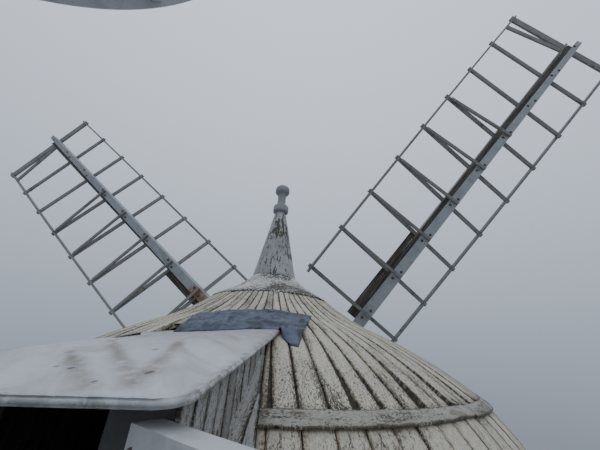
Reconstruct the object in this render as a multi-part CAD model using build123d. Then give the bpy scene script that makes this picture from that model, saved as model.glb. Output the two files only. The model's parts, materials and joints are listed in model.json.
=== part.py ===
from build123d import *
from math import cos, radians, sin, sqrt, tan
import os

# Tower mill with a boarded ogee cap, four double-sided patent sails and a fantail.
# Millimetres, +Z up, origin at ground level on the tower's axis.
# The sails face -Y, the fantail stands on the +Y side.

# Driving sizes
TOWER_HEIGHT = 14400.0
TOWER_BASE_RADIUS = 3750.0
CAP_RADIUS = 2600.0
BAY_LENGTH = 1070.0

# Tower
CAP_OVERHANG = 180.0
TOWER_TOP_RADIUS = CAP_RADIUS - CAP_OVERHANG
STOREYS = 5
WALL_BASE_THICKNESS = 600.0
WALL_LEDGE = 60.0
FLOOR_THICKNESS = 140.0
GROUND_SLAB_THICKNESS = 150.0
WALL_SECTORS = 8
PLINTH_HEIGHT = 450.0
PLINTH_PROJECTION = 90.0
CORNICE_HEIGHTS = (150.0, 150.0)
CORNICE_STEP = 55.0

# Tower openings
DOOR_WIDTH = 1150.0
DOOR_HEIGHT = 2150.0
WINDOW_WIDTH = 780.0
WINDOW_HEIGHT = 1180.0
WINDOW_SILL = 950.0
ARCH_RISE = 110.0
FRAME_FACE = 70.0
FRAME_DEPTH = 90.0
FRAME_RECESS = 110.0
GLASS_THICKNESS = 12.0
DOOR_THICKNESS = 55.0
SILL_HEIGHT = 75.0
SILL_PROJECTION = 50.0

# Curb on which the cap turns
CURB_HEIGHT = 180.0
CURB_WIDTH = 200.0
CURB_INSET = 25.0
TURNING_GAP = 0.3

# Cap outline, heights from the curb's top
SKIRT_DROP = 250.0
CAP_STRAIGHT_TOP = 1000.0
KNUCKLE_RADIUS = CAP_RADIUS - 400.0
KNUCKLE_HEIGHT = 1950.0
OGEE_TURN_RADIUS = CAP_RADIUS - 1270.0
OGEE_TURN_HEIGHT = KNUCKLE_HEIGHT + 520.0
OGEE_TURN_SLOPE = 23.0
SPIRE_FOOT_RADIUS = CAP_RADIUS - 1840.0
SPIRE_FOOT_HEIGHT = OGEE_TURN_HEIGHT + 345.0
CONE_FOOT_RADIUS = 335.0
CONE_FOOT_HEIGHT = SPIRE_FOOT_HEIGHT + 335.0
CONE_TOP_RADIUS = 112.0
FLARE_OUT = 0.36
FLARE_UP = 0.5
CONE_TOP_HEIGHT = CONE_FOOT_HEIGHT + 1060.0
BOARD_THICKNESS = 25.0
BAND_WIDTH = 95.0
BAND_DROP = 15.0
BAND_THICKNESS = 28.0

# Finial
COLLAR_RADIUS = 155.0
COLLAR_HEIGHT = 140.0
NECK_RADIUS = 82.0
NECK_HEIGHT = 170.0
BALL_RADIUS = 145.0
BALL_HEIGHT = 165.0

# Cap frame
CAP_RING_WIDTH = 330.0
CAP_RING_HEIGHT = 250.0
SHEER_SPACING = 1800.0
SHEER_WIDTH = 250.0
SHEER_DEPTH = 300.0
SHEER_FRONT = 320.0 - CAP_RADIUS
BEAM_WIDTH = 260.0
BREAST_BEAM_Y = 650.0 - CAP_RADIUS
TAIL_BEAM_Y = 700.0

# Windshaft and cross
HUB_RISE = 1450.0
HUB_FORWARD = CAP_RADIUS + 500.0
SHAFT_TILT = 10.0
SHAFT_RADIUS = 200.0
SHAFT_TAIL = HUB_FORWARD + 1200.0
BOSS_RADIUS = 330.0
BOSS_FRONT = -60.0
BOSS_REAR = 500.0
ARM_LENGTH = 1380.0
ARM_WIDTH = 240.0
ARM_DEPTH = 120.0
THROAT_INNER = 270.0
THROAT_OUTER = 380.0
THROAT_FRONT = 565.0
THROAT_REAR = 900.0
BEARING_LENGTH = 320.0
BEARING_WIDTH = 620.0
BEARING_SEAT = 60.0
SHAFT_CLEARANCE = 0.3

# Sails, in each sail's own frame: X leading, Y outwards, Z towards the cap
SAIL_COUNT = 4
SAIL_ANGLE = 39.4
BAY_COUNT = 8
HEEL_RADIUS = 2225.0
TRAILING_WIDTH = 1680.0
LEADING_WIDTH = 1000.0
HEEL_WEATHER = 30.0
TIP_WEATHER = 8.0
BACK_START = 350.0
BACK_END = HEEL_RADIUS + BAY_COUNT * BAY_LENGTH + 75.0
BACK_ROOT_WIDTH = 255.0
BACK_TIP_WIDTH = 125.0
BACK_ROOT_DEPTH = 200.0
BACK_TIP_DEPTH = 120.0
BACK_FRONT = 120.0
WHIP_WIDTH_ROOT = 260.0
WHIP_WIDTH_TIP = 185.0
WHIP_DEPTH = 180.0
WHIP_START = HEEL_RADIUS - 230.0
WHIP_END = BACK_END - 60.0
WHIP_SHIFT = -75.0
BAR_HEIGHT = 85.0
BAR_DEPTH = 50.0
BAR_OVERHANG = 70.0
HEMLATH_WIDTH = 45.0
HEMLATH_DEPTH = 75.0
HEMLATH_OVERHANG = 110.0
HEMLATH_LAP = 20.0
UPLONG_OFFSET = 205.0
STAY_WIDTH = 60.0
STAY_DEPTH = 50.0
STAYED_BARS = 6
STAY_REACH = 90.0
CLAMP_WIDTH = 125.0
CLAMP_BAYS = 2
TIP_BAR_HEIGHT = 150.0
TIP_RAIL_INSET = 330.0
TIP_RAIL_RISE = 220.0
TIP_RAIL_HEIGHT = 95.0
TIP_RAIL_DEPTH = 40.0

# Dormer over the rear hatch
DORMER_HALF_WIDTH = 450.0
DORMER_CUT_ANGLE = 15.0
DORMER_FRONT = CAP_RADIUS + 50.0
HATCH_HALF_WIDTH = 225.0
HATCH_HEIGHT = 1300.0
HATCH_LINING = 45.0
HATCH_FLOOR_THICKNESS = 40.0
HATCH_FLOOR_GAP = 60.0
CANOPY_HALF_WIDTH = 520.0
CANOPY_THICKNESS = 28.0
CANOPY_SLOPE = 12.7
CANOPY_EDGE_Y = DORMER_FRONT + 190.0
CANOPY_EDGE_RISE = 640.0
CANOPY_INNER_Y = DORMER_FRONT - 1350.0
CANOPY_CORNER = 70.0

# Fan stage
STAGE_HALF_WIDTH = 1300.0
STAGE_BOARD = 35.0
STAGE_START = DORMER_FRONT + 55.0
STAGE_REAR = STAGE_START + 2645.0
JOIST_DEPTH = 150.0
JOIST_WIDTH = 75.0
JOIST_COUNT = 5
RAIL_HEIGHT = 1290.0
RAIL_WIDTH = 95.0
RAIL_DEPTH = 100.0
POST_SIZE = 95.0
RAIL_HATCH_X = 395.0
RAIL_HATCH_Y = DORMER_FRONT + 44.0
RAIL_CORNER_Y = RAIL_HATCH_Y + 414.0

# Fantail
FAN_Y = STAGE_START + 1630.0
FAN_RISE = 2905.0
FAN_RADIUS = 1500.0
FAN_BLADES = 8
FAN_TURN = 33.2
FAN_POST_SPACING = 1100.0
FAN_POST_SIZE = 130.0
FAN_POST_SPREAD = 650.0
FAN_AXLE_RADIUS = 38.0
FAN_HUB_RADIUS = 170.0
FAN_HUB_LENGTH = 220.0
BLADE_ROOT_RADIUS = 520.0
BLADE_ROOT_WIDTH = 260.0
BLADE_TIP_WIDTH = 900.0
BLADE_THICKNESS = 18.0
BLADE_PITCH = 38.0
SPOKE_SIZE = 55.0
SPOKE_INSET = 150.0
BATTEN_WIDTH = 45.0
BATTEN_DEPTH = 30.0
BATTEN_SPREAD = 200.0
BATTEN_START = 880.0
BATTEN_END = 1465.0
BEARING_BLOCK = 150.0

CURB_TOP = TOWER_HEIGHT + CURB_HEIGHT
HUB_HEIGHT = CURB_TOP + HUB_RISE
CAP_FLOOR = CURB_TOP + CAP_RING_HEIGHT + TURNING_GAP
SHEER_TOP = CAP_FLOOR + SHEER_DEPTH
STAGE_TOP = SHEER_TOP + JOIST_DEPTH + STAGE_BOARD
STOREY_HEIGHT = TOWER_HEIGHT / STOREYS
SAIL_TIP_RADIUS = HEEL_RADIUS + BAY_COUNT * BAY_LENGTH


def beam(start, end, width, depth, wide_towards):
    """A straight square-edged timber from start to end, its width facing wide_towards."""
    start, end = Vector(*start), Vector(*end)
    along = end - start
    across = Vector(*wide_towards)
    across = across - along * (across.dot(along) / along.dot(along))
    placing = Plane(origin=start, x_dir=across, z_dir=along)
    return placing * Box(width, depth, along.length, align=(Align.CENTER, Align.CENTER, Align.MIN))


def block(x_range, y_range, z_range):
    """A box given by its limits along each axis."""
    size = [high - low for low, high in (x_range, y_range, z_range)]
    centre = [(high + low) / 2 for low, high in (x_range, y_range, z_range)]
    return Pos(*centre) * Box(*size)


def turned(points):
    """A solid of revolution about the Z axis from radius and height pairs."""
    return revolve(Plane.XZ * make_face(Polyline(*points, close=True)), Axis.Z)


def save(name, *shapes):
    """Writes one node, made of one or several solids."""
    found = [solid for shape in shapes for solid in shape.solids()]
    export_step(Compound(children=found) if len(found) > 1 else found[0], f"parts/{name}.step")


# Tower

def outer_radius(height):
    share = height / TOWER_HEIGHT
    return TOWER_BASE_RADIUS + (TOWER_TOP_RADIUS - TOWER_BASE_RADIUS) * share


def wall_thickness(storey):
    return WALL_BASE_THICKNESS - WALL_LEDGE * storey


def inner_radius(height, storey):
    return outer_radius(height) - wall_thickness(storey)


def ledge_height(storey):
    """Height of the ledge in the brickwork that carries a storey's floor."""
    return storey * STOREY_HEIGHT - FLOOR_THICKNESS


def tower_profile():
    points = [(TOWER_BASE_RADIUS, 0), (TOWER_TOP_RADIUS, TOWER_HEIGHT)]
    points.append((inner_radius(TOWER_HEIGHT, STOREYS - 1), TOWER_HEIGHT))
    for storey in range(STOREYS - 1, 0, -1):
        level = ledge_height(storey)
        points.append((inner_radius(level, storey), level))
        points.append((inner_radius(level, storey - 1), level))
    points.append((inner_radius(0, 0), 0))
    return points


def arched_block(width, height, rise, length):
    """A bar of arch-headed section, standing on z = 0 and running along +Y from y = 0."""
    half = width / 2
    outline = Polyline((-half, height - rise), (-half, 0), (half, 0), (half, height - rise))
    head = ThreePointArc((half, height - rise), (0, height), (-half, height - rise))
    face = make_face([outline, head])
    return extrude(Plane.XZ * face, -length)


def facing(angle, distance, height):
    """Places a piece made facing -Y on the tower's side at an angle round from -Y."""
    return Rot(0, 0, angle) * Pos(0, -distance, height)


def window_places():
    """Angle and sill height of each window; doors take the two sides of the ground floor."""
    places = []
    for storey in range(STOREYS):
        for side in (0, 180):
            turn = 90 if storey % 2 == 0 else 0
            places.append((side + turn, storey * STOREY_HEIGHT + WINDOW_SILL))
    return places


DOOR_PLACES = ((180.0, GROUND_SLAB_THICKNESS),)


def build_tower():
    wall = turned(tower_profile())
    reach = WALL_BASE_THICKNESS * 3
    for angle, sill in window_places():
        opening = arched_block(WINDOW_WIDTH, WINDOW_HEIGHT, ARCH_RISE, reach)
        wall -= facing(angle, outer_radius(sill) + reach / 3, sill) * opening
    for angle, step in DOOR_PLACES:
        opening = arched_block(DOOR_WIDTH, DOOR_HEIGHT, ARCH_RISE, reach)
        wall -= facing(angle, outer_radius(0) + reach / 3, step) * opening
    sector = 360.0 / WALL_SECTORS
    names = ["front", "front_right", "right", "rear_right", "rear", "rear_left", "left", "front_left"]
    wedge_reach = TOWER_BASE_RADIUS * 1.5
    for number, name in enumerate(names):
        low, high = radians(-90 + (number - 0.5) * sector), radians(-90 + (number + 0.5) * sector)
        wedge = extrude(make_face(Polyline(
            (0, 0),
            (wedge_reach * cos(low), wedge_reach * sin(low)),
            (wedge_reach * cos(high), wedge_reach * sin(high)),
            close=True,
        )), TOWER_HEIGHT)
        save(f"tower_wall_{name}", wall & wedge)
    save("ground_floor", Cylinder(
        inner_radius(GROUND_SLAB_THICKNESS, 0), GROUND_SLAB_THICKNESS,
        align=(Align.CENTER, Align.CENTER, Align.MIN)))
    floors = []
    for storey in range(1, STOREYS):
        radius = inner_radius(storey * STOREY_HEIGHT, storey)
        floors.append(Pos(0, 0, ledge_height(storey)) * Cylinder(
            radius, FLOOR_THICKNESS, align=(Align.CENTER, Align.CENTER, Align.MIN)))
    save("upper_floors", *floors)


def build_tower_trim():
    top = outer_radius(PLINTH_HEIGHT)
    plinth = turned([
        (TOWER_BASE_RADIUS, 0), (TOWER_BASE_RADIUS + PLINTH_PROJECTION, 0),
        (top + PLINTH_PROJECTION, PLINTH_HEIGHT - PLINTH_PROJECTION), (top, PLINTH_HEIGHT)])
    for angle, step in DOOR_PLACES:
        gap = block((-DOOR_WIDTH / 2, DOOR_WIDTH / 2), (-WALL_BASE_THICKNESS, WALL_BASE_THICKNESS),
                    (-PLINTH_HEIGHT, PLINTH_HEIGHT))
        plinth -= facing(angle, TOWER_BASE_RADIUS, step) * Pos(0, 0, PLINTH_HEIGHT) * gap
    save("tower_plinth", plinth)
    courses = []
    low = TOWER_HEIGHT - sum(CORNICE_HEIGHTS)
    for number, height in enumerate(CORNICE_HEIGHTS):
        out = CORNICE_STEP * (number + 1)
        high = low + height
        courses.append((outer_radius(low) + out, low))
        courses.append((outer_radius(low) + out, high))
        low = high
    foot = TOWER_HEIGHT - sum(CORNICE_HEIGHTS)
    save("tower_cornice", turned([(outer_radius(foot), foot), *courses, (TOWER_TOP_RADIUS, TOWER_HEIGHT)]))
    frames, panes, sills = [], [], []
    for angle, sill in window_places():
        place = facing(angle, outer_radius(sill + WINDOW_HEIGHT) - FRAME_RECESS, sill)
        outer = arched_block(WINDOW_WIDTH, WINDOW_HEIGHT, ARCH_RISE, FRAME_DEPTH)
        hole = arched_block(
            WINDOW_WIDTH - 2 * FRAME_FACE, WINDOW_HEIGHT - 2 * FRAME_FACE, ARCH_RISE, FRAME_DEPTH)
        glass = arched_block(
            WINDOW_WIDTH - 2 * FRAME_FACE, WINDOW_HEIGHT - 2 * FRAME_FACE, ARCH_RISE, GLASS_THICKNESS)
        frames.append(place * (outer - Pos(0, 0, FRAME_FACE) * hole))
        panes.append(place * Pos(0, (FRAME_DEPTH - GLASS_THICKNESS) / 2, FRAME_FACE) * glass)
        sill_front = outer_radius(sill) + SILL_PROJECTION
        sill_back = outer_radius(sill + WINDOW_HEIGHT) - FRAME_RECESS
        slab = block((-WINDOW_WIDTH / 2, WINDOW_WIDTH / 2), (-sill_front, -sill_back), (0, SILL_HEIGHT))
        sills.append(Rot(0, 0, angle) * Pos(0, 0, sill) * slab)
    save("window_frames", *[frame for frame in frames])
    save("window_glass", *panes)
    save("window_sills", *sills)


def build_tower_door():
    for angle, step in DOOR_PLACES:
        place = facing(angle, outer_radius(step + DOOR_HEIGHT) - FRAME_RECESS, step)
        outer = arched_block(DOOR_WIDTH, DOOR_HEIGHT, ARCH_RISE, FRAME_DEPTH)
        hole = arched_block(DOOR_WIDTH - 2 * FRAME_FACE, DOOR_HEIGHT - FRAME_FACE, ARCH_RISE, FRAME_DEPTH)
        leaf = arched_block(DOOR_WIDTH - 2 * FRAME_FACE, DOOR_HEIGHT - FRAME_FACE, ARCH_RISE, DOOR_THICKNESS)
        save("door_frame", place * (outer - hole))
        save("door_leaf", place * Pos(0, FRAME_DEPTH - DOOR_THICKNESS, 0) * leaf)


def build_curb():
    outer = TOWER_TOP_RADIUS - CURB_INSET
    save("curb_ring", turned([
        (outer, TOWER_HEIGHT), (outer, CURB_TOP), (outer - CURB_WIDTH, CURB_TOP),
        (outer - CURB_WIDTH, TOWER_HEIGHT)]))


# Cap shell

def cap_curves():
    """The cap's outer line from the skirt to the lead, as curves in the XZ plane."""
    skirt = Line((CAP_RADIUS, CURB_TOP - SKIRT_DROP), (CAP_RADIUS, CURB_TOP + CAP_STRAIGHT_TOP))
    bulge = TangentArc(skirt @ 1, (KNUCKLE_RADIUS, CURB_TOP + KNUCKLE_HEIGHT), tangent=skirt % 1)
    turn = (OGEE_TURN_RADIUS, CURB_TOP + OGEE_TURN_HEIGHT)
    slope = (-cos(radians(OGEE_TURN_SLOPE)), sin(radians(OGEE_TURN_SLOPE)))
    shoulder = TangentArc(turn, bulge @ 1, tangent=(-slope[0], -slope[1]))
    hollow = TangentArc(turn, (SPIRE_FOOT_RADIUS, CURB_TOP + SPIRE_FOOT_HEIGHT), tangent=slope)
    return skirt, bulge, shoulder, hollow


def outer_envelope():
    """A solid filling the cap out to its boards' outer face."""
    skirt, bulge, shoulder, hollow = cap_curves()
    low, high = CURB_TOP - SKIRT_DROP, CURB_TOP + SPIRE_FOOT_HEIGHT
    inner = Polyline(hollow @ 1, (0, high), (0, low), skirt @ 0)
    return revolve(Plane.XZ * make_face([skirt, bulge, shoulder, hollow, inner]), Axis.Z)


def inner_envelope():
    """A solid filling the cap below its knuckle as far as the boards' inner face."""
    radius = CAP_RADIUS - BOARD_THICKNESS
    return Pos(0, 0, CURB_TOP) * Cylinder(
        radius, CAP_STRAIGHT_TOP, align=(Align.CENTER, Align.CENTER, Align.MIN))


def inset(curve, share):
    """A point under the boards, square in from the point at that share of the outer line."""
    along = curve % share
    inward = Vector(-abs(along.Y), -abs(along.X)) if along.X * along.Y < 0 else Vector(-1, 0)
    return curve @ share + inward * BOARD_THICKNESS


def boarding(curve):
    """A shell of board thickness turned from one curve of the outer line."""
    low, middle, high = [inset(curve, share) for share in (0, 0.5, 1)]
    under = Line(low, high) if curve.geom_type == GeomType.LINE else ThreePointArc(low, middle, high)
    ends = Line(curve @ 0, low), Line(curve @ 1, high)
    return revolve(Plane.XZ * make_face([curve, ends[0], under, ends[1]]), Axis.Z)


def dormer_wedge():
    """The part of the cap left unboarded for the dormer: between two radial cuts."""
    spread = CAP_RADIUS * 1.2 * tan(radians(DORMER_CUT_ANGLE))
    plan = make_face(Polyline((0, 0), (spread, CAP_RADIUS * 1.2), (-spread, CAP_RADIUS * 1.2), close=True))
    return Pos(0, 0, STAGE_TOP) * extrude(plan, canopy_top(0) - STAGE_TOP)


def canopy_top(y):
    """Height of the canopy's upper face at a distance from the cap's axis."""
    edge = HUB_HEIGHT + CANOPY_EDGE_RISE
    return edge + (CANOPY_EDGE_Y - y) * tan(radians(CANOPY_SLOPE))


SHAFT_PLANE = Plane(
    origin=(0, -HUB_FORWARD, HUB_HEIGHT),
    x_dir=(-1, 0, 0),
    z_dir=(0, cos(radians(SHAFT_TILT)), -sin(radians(SHAFT_TILT))),
)


def along_shaft(radius, front, rear):
    """A cylinder on the windshaft's axis between two distances behind the sails' plane."""
    return SHAFT_PLANE * Pos(0, 0, front) * Cylinder(
        radius, rear - front, align=(Align.CENTER, Align.CENTER, Align.MIN))


def sheer_boxes():
    half = SHEER_SPACING / 2
    return [block((side * half - SHEER_WIDTH / 2, side * half + SHEER_WIDTH / 2),
                  (SHEER_FRONT, STAGE_REAR), (CAP_FLOOR, SHEER_TOP)) for side in (-1, 1)]


def build_cap_shell():
    skirt, bulge, shoulder, hollow = cap_curves()
    below_canopy = dormer_wedge() & canopy_space()
    lower = boarding(skirt) + boarding(bulge)
    upper = boarding(shoulder) + boarding(hollow) - lower - below_canopy - canopy()
    lower = lower - along_shaft(THROAT_OUTER, 0, THROAT_REAR * 2) - below_canopy
    for sheer in sheer_boxes():
        lower -= sheer
    save("lower_boarding", lower)
    save("upper_boarding", upper)
    ring = along_shaft(THROAT_OUTER, THROAT_FRONT, THROAT_REAR)
    save("shaft_throat", ring - along_shaft(THROAT_INNER, 0, THROAT_REAR * 2))


def canopy_slab(thickness, half_width, edge_y, corner):
    """The canopy's sheet: flat, sloping down to the rear, its outer corners rounded."""
    length = (edge_y - CANOPY_INNER_Y) / cos(radians(CANOPY_SLOPE))
    plan = Rectangle(2 * half_width, length, align=(Align.CENTER, Align.MAX))
    if corner:
        ends = [v for v in plan.vertices() if v.Y > -1]
        plan = fillet(ends, corner)
    placing = Plane(
        origin=(0, edge_y, canopy_top(edge_y)),
        x_dir=(1, 0, 0),
        z_dir=(0, sin(radians(CANOPY_SLOPE)), cos(radians(CANOPY_SLOPE))),
    )
    return placing * extrude(plan, -thickness)


def canopy():
    return canopy_slab(CANOPY_THICKNESS, CANOPY_HALF_WIDTH, CANOPY_EDGE_Y, CANOPY_CORNER)


def canopy_space():
    """All the room under the canopy's underside."""
    reach = CANOPY_HALF_WIDTH * 2
    low = STAGE_TOP
    under = CANOPY_THICKNESS / cos(radians(CANOPY_SLOPE))
    side = make_face(Polyline(
        (0, low), (CANOPY_EDGE_Y, low), (CANOPY_EDGE_Y, canopy_top(CANOPY_EDGE_Y) - under),
        (0, canopy_top(0) - under), close=True))
    return extrude(Plane.YZ * side, reach, both=True)


def build_dormer():
    save("canopy", canopy() - outer_envelope())
    room = canopy_space()
    inner = DORMER_HALF_WIDTH - BOARD_THICKNESS
    back = (DORMER_HALF_WIDTH + BOARD_THICKNESS) / tan(radians(DORMER_CUT_ANGLE))
    cheeks, returns = [], []
    for side in (-1, 1):
        cheeks.append(room & block(
            sorted((side * DORMER_HALF_WIDTH, side * inner)),
            (back, DORMER_FRONT - HATCH_LINING), (STAGE_TOP, canopy_top(0))))
        turn = Rot(0, 0, -side * DORMER_CUT_ANGLE)
        start = (DORMER_HALF_WIDTH + BOARD_THICKNESS) / sin(radians(DORMER_CUT_ANGLE))
        panel = turn * block(sorted((0, -side * BOARD_THICKNESS)), (start, CAP_RADIUS),
                             (STAGE_TOP, canopy_top(0)))
        returns.append(panel & outer_envelope() & room)
    save("dormer_cheeks", *cheeks)
    save("dormer_returns", *returns)
    front = room & block((-DORMER_HALF_WIDTH, DORMER_HALF_WIDTH),
                         (DORMER_FRONT - HATCH_LINING, DORMER_FRONT), (STAGE_TOP, canopy_top(0)))
    hatch = block((-HATCH_HALF_WIDTH, HATCH_HALF_WIDTH), (0, DORMER_FRONT * 2),
                  (STAGE_TOP, STAGE_TOP + HATCH_HEIGHT))
    save("hatch_frame", front - hatch)
    reach = (SHEER_SPACING - SHEER_WIDTH) / 2
    floor_top = STAGE_TOP - 1
    floor_start = SHAFT_TAIL - HUB_FORWARD + HATCH_FLOOR_GAP
    floor = block((-reach, reach), (floor_start, DORMER_FRONT),
                  (floor_top - HATCH_FLOOR_THICKNESS, floor_top))
    joists = [block((-reach, reach), (y, y + JOIST_WIDTH), (CAP_FLOOR, floor_top - HATCH_FLOOR_THICKNESS))
              for y in (floor_start, CAP_RADIUS - CAP_RING_WIDTH - JOIST_WIDTH)]
    save("hatch_floor", (floor & inner_envelope()) + joists)


def build_cap_top():
    centre = (KNUCKLE_RADIUS, CURB_TOP + KNUCKLE_HEIGHT - BAND_DROP)
    lean = radians(45)
    half = BAND_WIDTH / 2
    foot = (centre[0] + half * cos(lean), centre[1] - half * sin(lean))
    head = (centre[0] - half * cos(lean), centre[1] + half * sin(lean))
    out = (BAND_THICKNESS * sin(lean), BAND_THICKNESS * cos(lean))
    band = turned([foot, (foot[0] + out[0], foot[1] + out[1]), (head[0] + out[0], head[1] + out[1]), head])
    band = band - outer_envelope() - dormer_wedge() - canopy()
    save("knuckle_band", *band.solids().sort_by(SortBy.VOLUME)[-1:])
    low, high = CURB_TOP + SPIRE_FOOT_HEIGHT, CURB_TOP + CONE_FOOT_HEIGHT
    spire_top = CURB_TOP + CONE_TOP_HEIGHT
    middle = (CONE_FOOT_RADIUS + (SPIRE_FOOT_RADIUS - CONE_FOOT_RADIUS) * FLARE_OUT,
              low + (high - low) * FLARE_UP)
    flare = ThreePointArc((CONE_FOOT_RADIUS, high), middle, (SPIRE_FOOT_RADIUS, low))
    cone = Line((CONE_FOOT_RADIUS, high), (CONE_TOP_RADIUS, spire_top))
    close = Polyline(cone @ 1, (0, spire_top), (0, low), (SPIRE_FOOT_RADIUS, low))
    spire = revolve(Plane.XZ * make_face([flare, cone, close]), Axis.Z)
    save("lead_spire", spire)
    collar = Pos(0, 0, spire_top) * Cylinder(
        COLLAR_RADIUS, COLLAR_HEIGHT, align=(Align.CENTER, Align.CENTER, Align.MIN))
    neck_low = spire_top + COLLAR_HEIGHT
    ball_low = neck_low + NECK_HEIGHT
    neck = Pos(0, 0, neck_low) * Cylinder(
        NECK_RADIUS, NECK_HEIGHT, align=(Align.CENTER, Align.CENTER, Align.MIN))
    ball = Spline((NECK_RADIUS, ball_low), (BALL_RADIUS, ball_low + BALL_HEIGHT * 0.45),
                  (0, ball_low + BALL_HEIGHT), tangents=((1, 0), (-1, 0)))
    closing = Polyline(ball @ 1, (0, ball_low), ball @ 0)
    save("finial", collar + neck + revolve(Plane.XZ * make_face([ball, closing]), Axis.Z))


def build_cap_frame():
    inner = CAP_RADIUS - BOARD_THICKNESS
    low = CURB_TOP + TURNING_GAP
    save("cap_ring", turned([
        (inner, low), (inner, CAP_FLOOR), (inner - CAP_RING_WIDTH, CAP_FLOOR), (inner - CAP_RING_WIDTH, low)]))
    save("sheers", *sheer_boxes())
    outer = (SHEER_SPACING + SHEER_WIDTH) / 2
    inner = (SHEER_SPACING - SHEER_WIDTH) / 2
    for name, y, reach, bottom in (
        ("breast", BREAST_BEAM_Y, outer, SHEER_TOP),
        ("tail", TAIL_BEAM_Y, inner, CAP_FLOOR),
    ):
        axis_height = HUB_HEIGHT - (HUB_FORWARD + y) * tan(radians(SHAFT_TILT))
        top = axis_height - SHAFT_RADIUS - BEARING_SEAT
        ends = (y - BEAM_WIDTH / 2, y + BEAM_WIDTH / 2)
        save(f"{name}_beam", block((-reach, reach), ends, (bottom, top)))
        seat = block((-BEARING_WIDTH / 2, BEARING_WIDTH / 2),
                     (y - BEARING_LENGTH / 2, y + BEARING_LENGTH / 2), (top, axis_height))
        save(f"{name}_bearing", seat - along_shaft(SHAFT_RADIUS + SHAFT_CLEARANCE, 0, SHAFT_TAIL * 2))


# Sails

def weather(radius):
    share = (radius - HEEL_RADIUS) / (BAY_COUNT * BAY_LENGTH)
    return radians(HEEL_WEATHER + (TIP_WEATHER - HEEL_WEATHER) * share)


def on_bar(radius, across):
    """A point on a sail bar: across is its distance from the whip, negative when trailing."""
    angle = weather(radius)
    return (across * cos(angle), radius, -across * sin(angle))


def bar_radii():
    return [HEEL_RADIUS + number * BAY_LENGTH for number in range(BAY_COUNT + 1)]


def sail_frame():
    """Bars, hemlaths and uplong, fused where they cross. The rails bend a little at each bar."""
    frame = None
    for radius in bar_radii():
        start = on_bar(radius, -TRAILING_WIDTH - BAR_OVERHANG)
        end = on_bar(radius, LEADING_WIDTH + BAR_OVERHANG)
        height = TIP_BAR_HEIGHT if radius == bar_radii()[-1] else BAR_HEIGHT
        bar = beam(start, end, height, BAR_DEPTH, (0, 1, 0))
        frame = bar if frame is None else frame + bar
    tip_rail = SAIL_TIP_RADIUS - TIP_RAIL_INSET
    frame += beam(on_bar(tip_rail, -TRAILING_WIDTH), on_bar(tip_rail + TIP_RAIL_RISE, -UPLONG_OFFSET),
                  TIP_RAIL_HEIGHT, TIP_RAIL_DEPTH, (0, 1, 0))
    for across, first_bar in ((-TRAILING_WIDTH, 0), (-UPLONG_OFFSET, CLAMP_BAYS), (LEADING_WIDTH, 0)):
        radii = bar_radii()[first_bar:]
        stops = [radii[0] - HEMLATH_OVERHANG, *radii[1:-1], SAIL_TIP_RADIUS + HEMLATH_OVERHANG]
        for low, high in zip(stops, stops[1:]):
            angle = weather((low + high) / 2)
            frame += beam(on_bar(low - HEMLATH_LAP, across), on_bar(high + HEMLATH_LAP, across),
                          HEMLATH_WIDTH, HEMLATH_DEPTH, (cos(angle), 0, -sin(angle)))
    return frame


def tapered(start, end, root, tip, front):
    """A timber along Y whose rectangular section shrinks from root to tip."""
    (root_width, root_depth), (tip_width, tip_depth) = root, tip
    plan = Polyline((-root_width / 2, start), (root_width / 2, start),
                    (tip_width / 2, end), (-tip_width / 2, end), close=True)
    side = Polyline((start, front), (end, front), (end, front + tip_depth),
                    (start, front + root_depth), close=True)
    slab = Pos(0, 0, front) * extrude(make_face(plan), root_depth)
    return slab & extrude(Plane.YZ * make_face(side), root_width, both=True)


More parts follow.
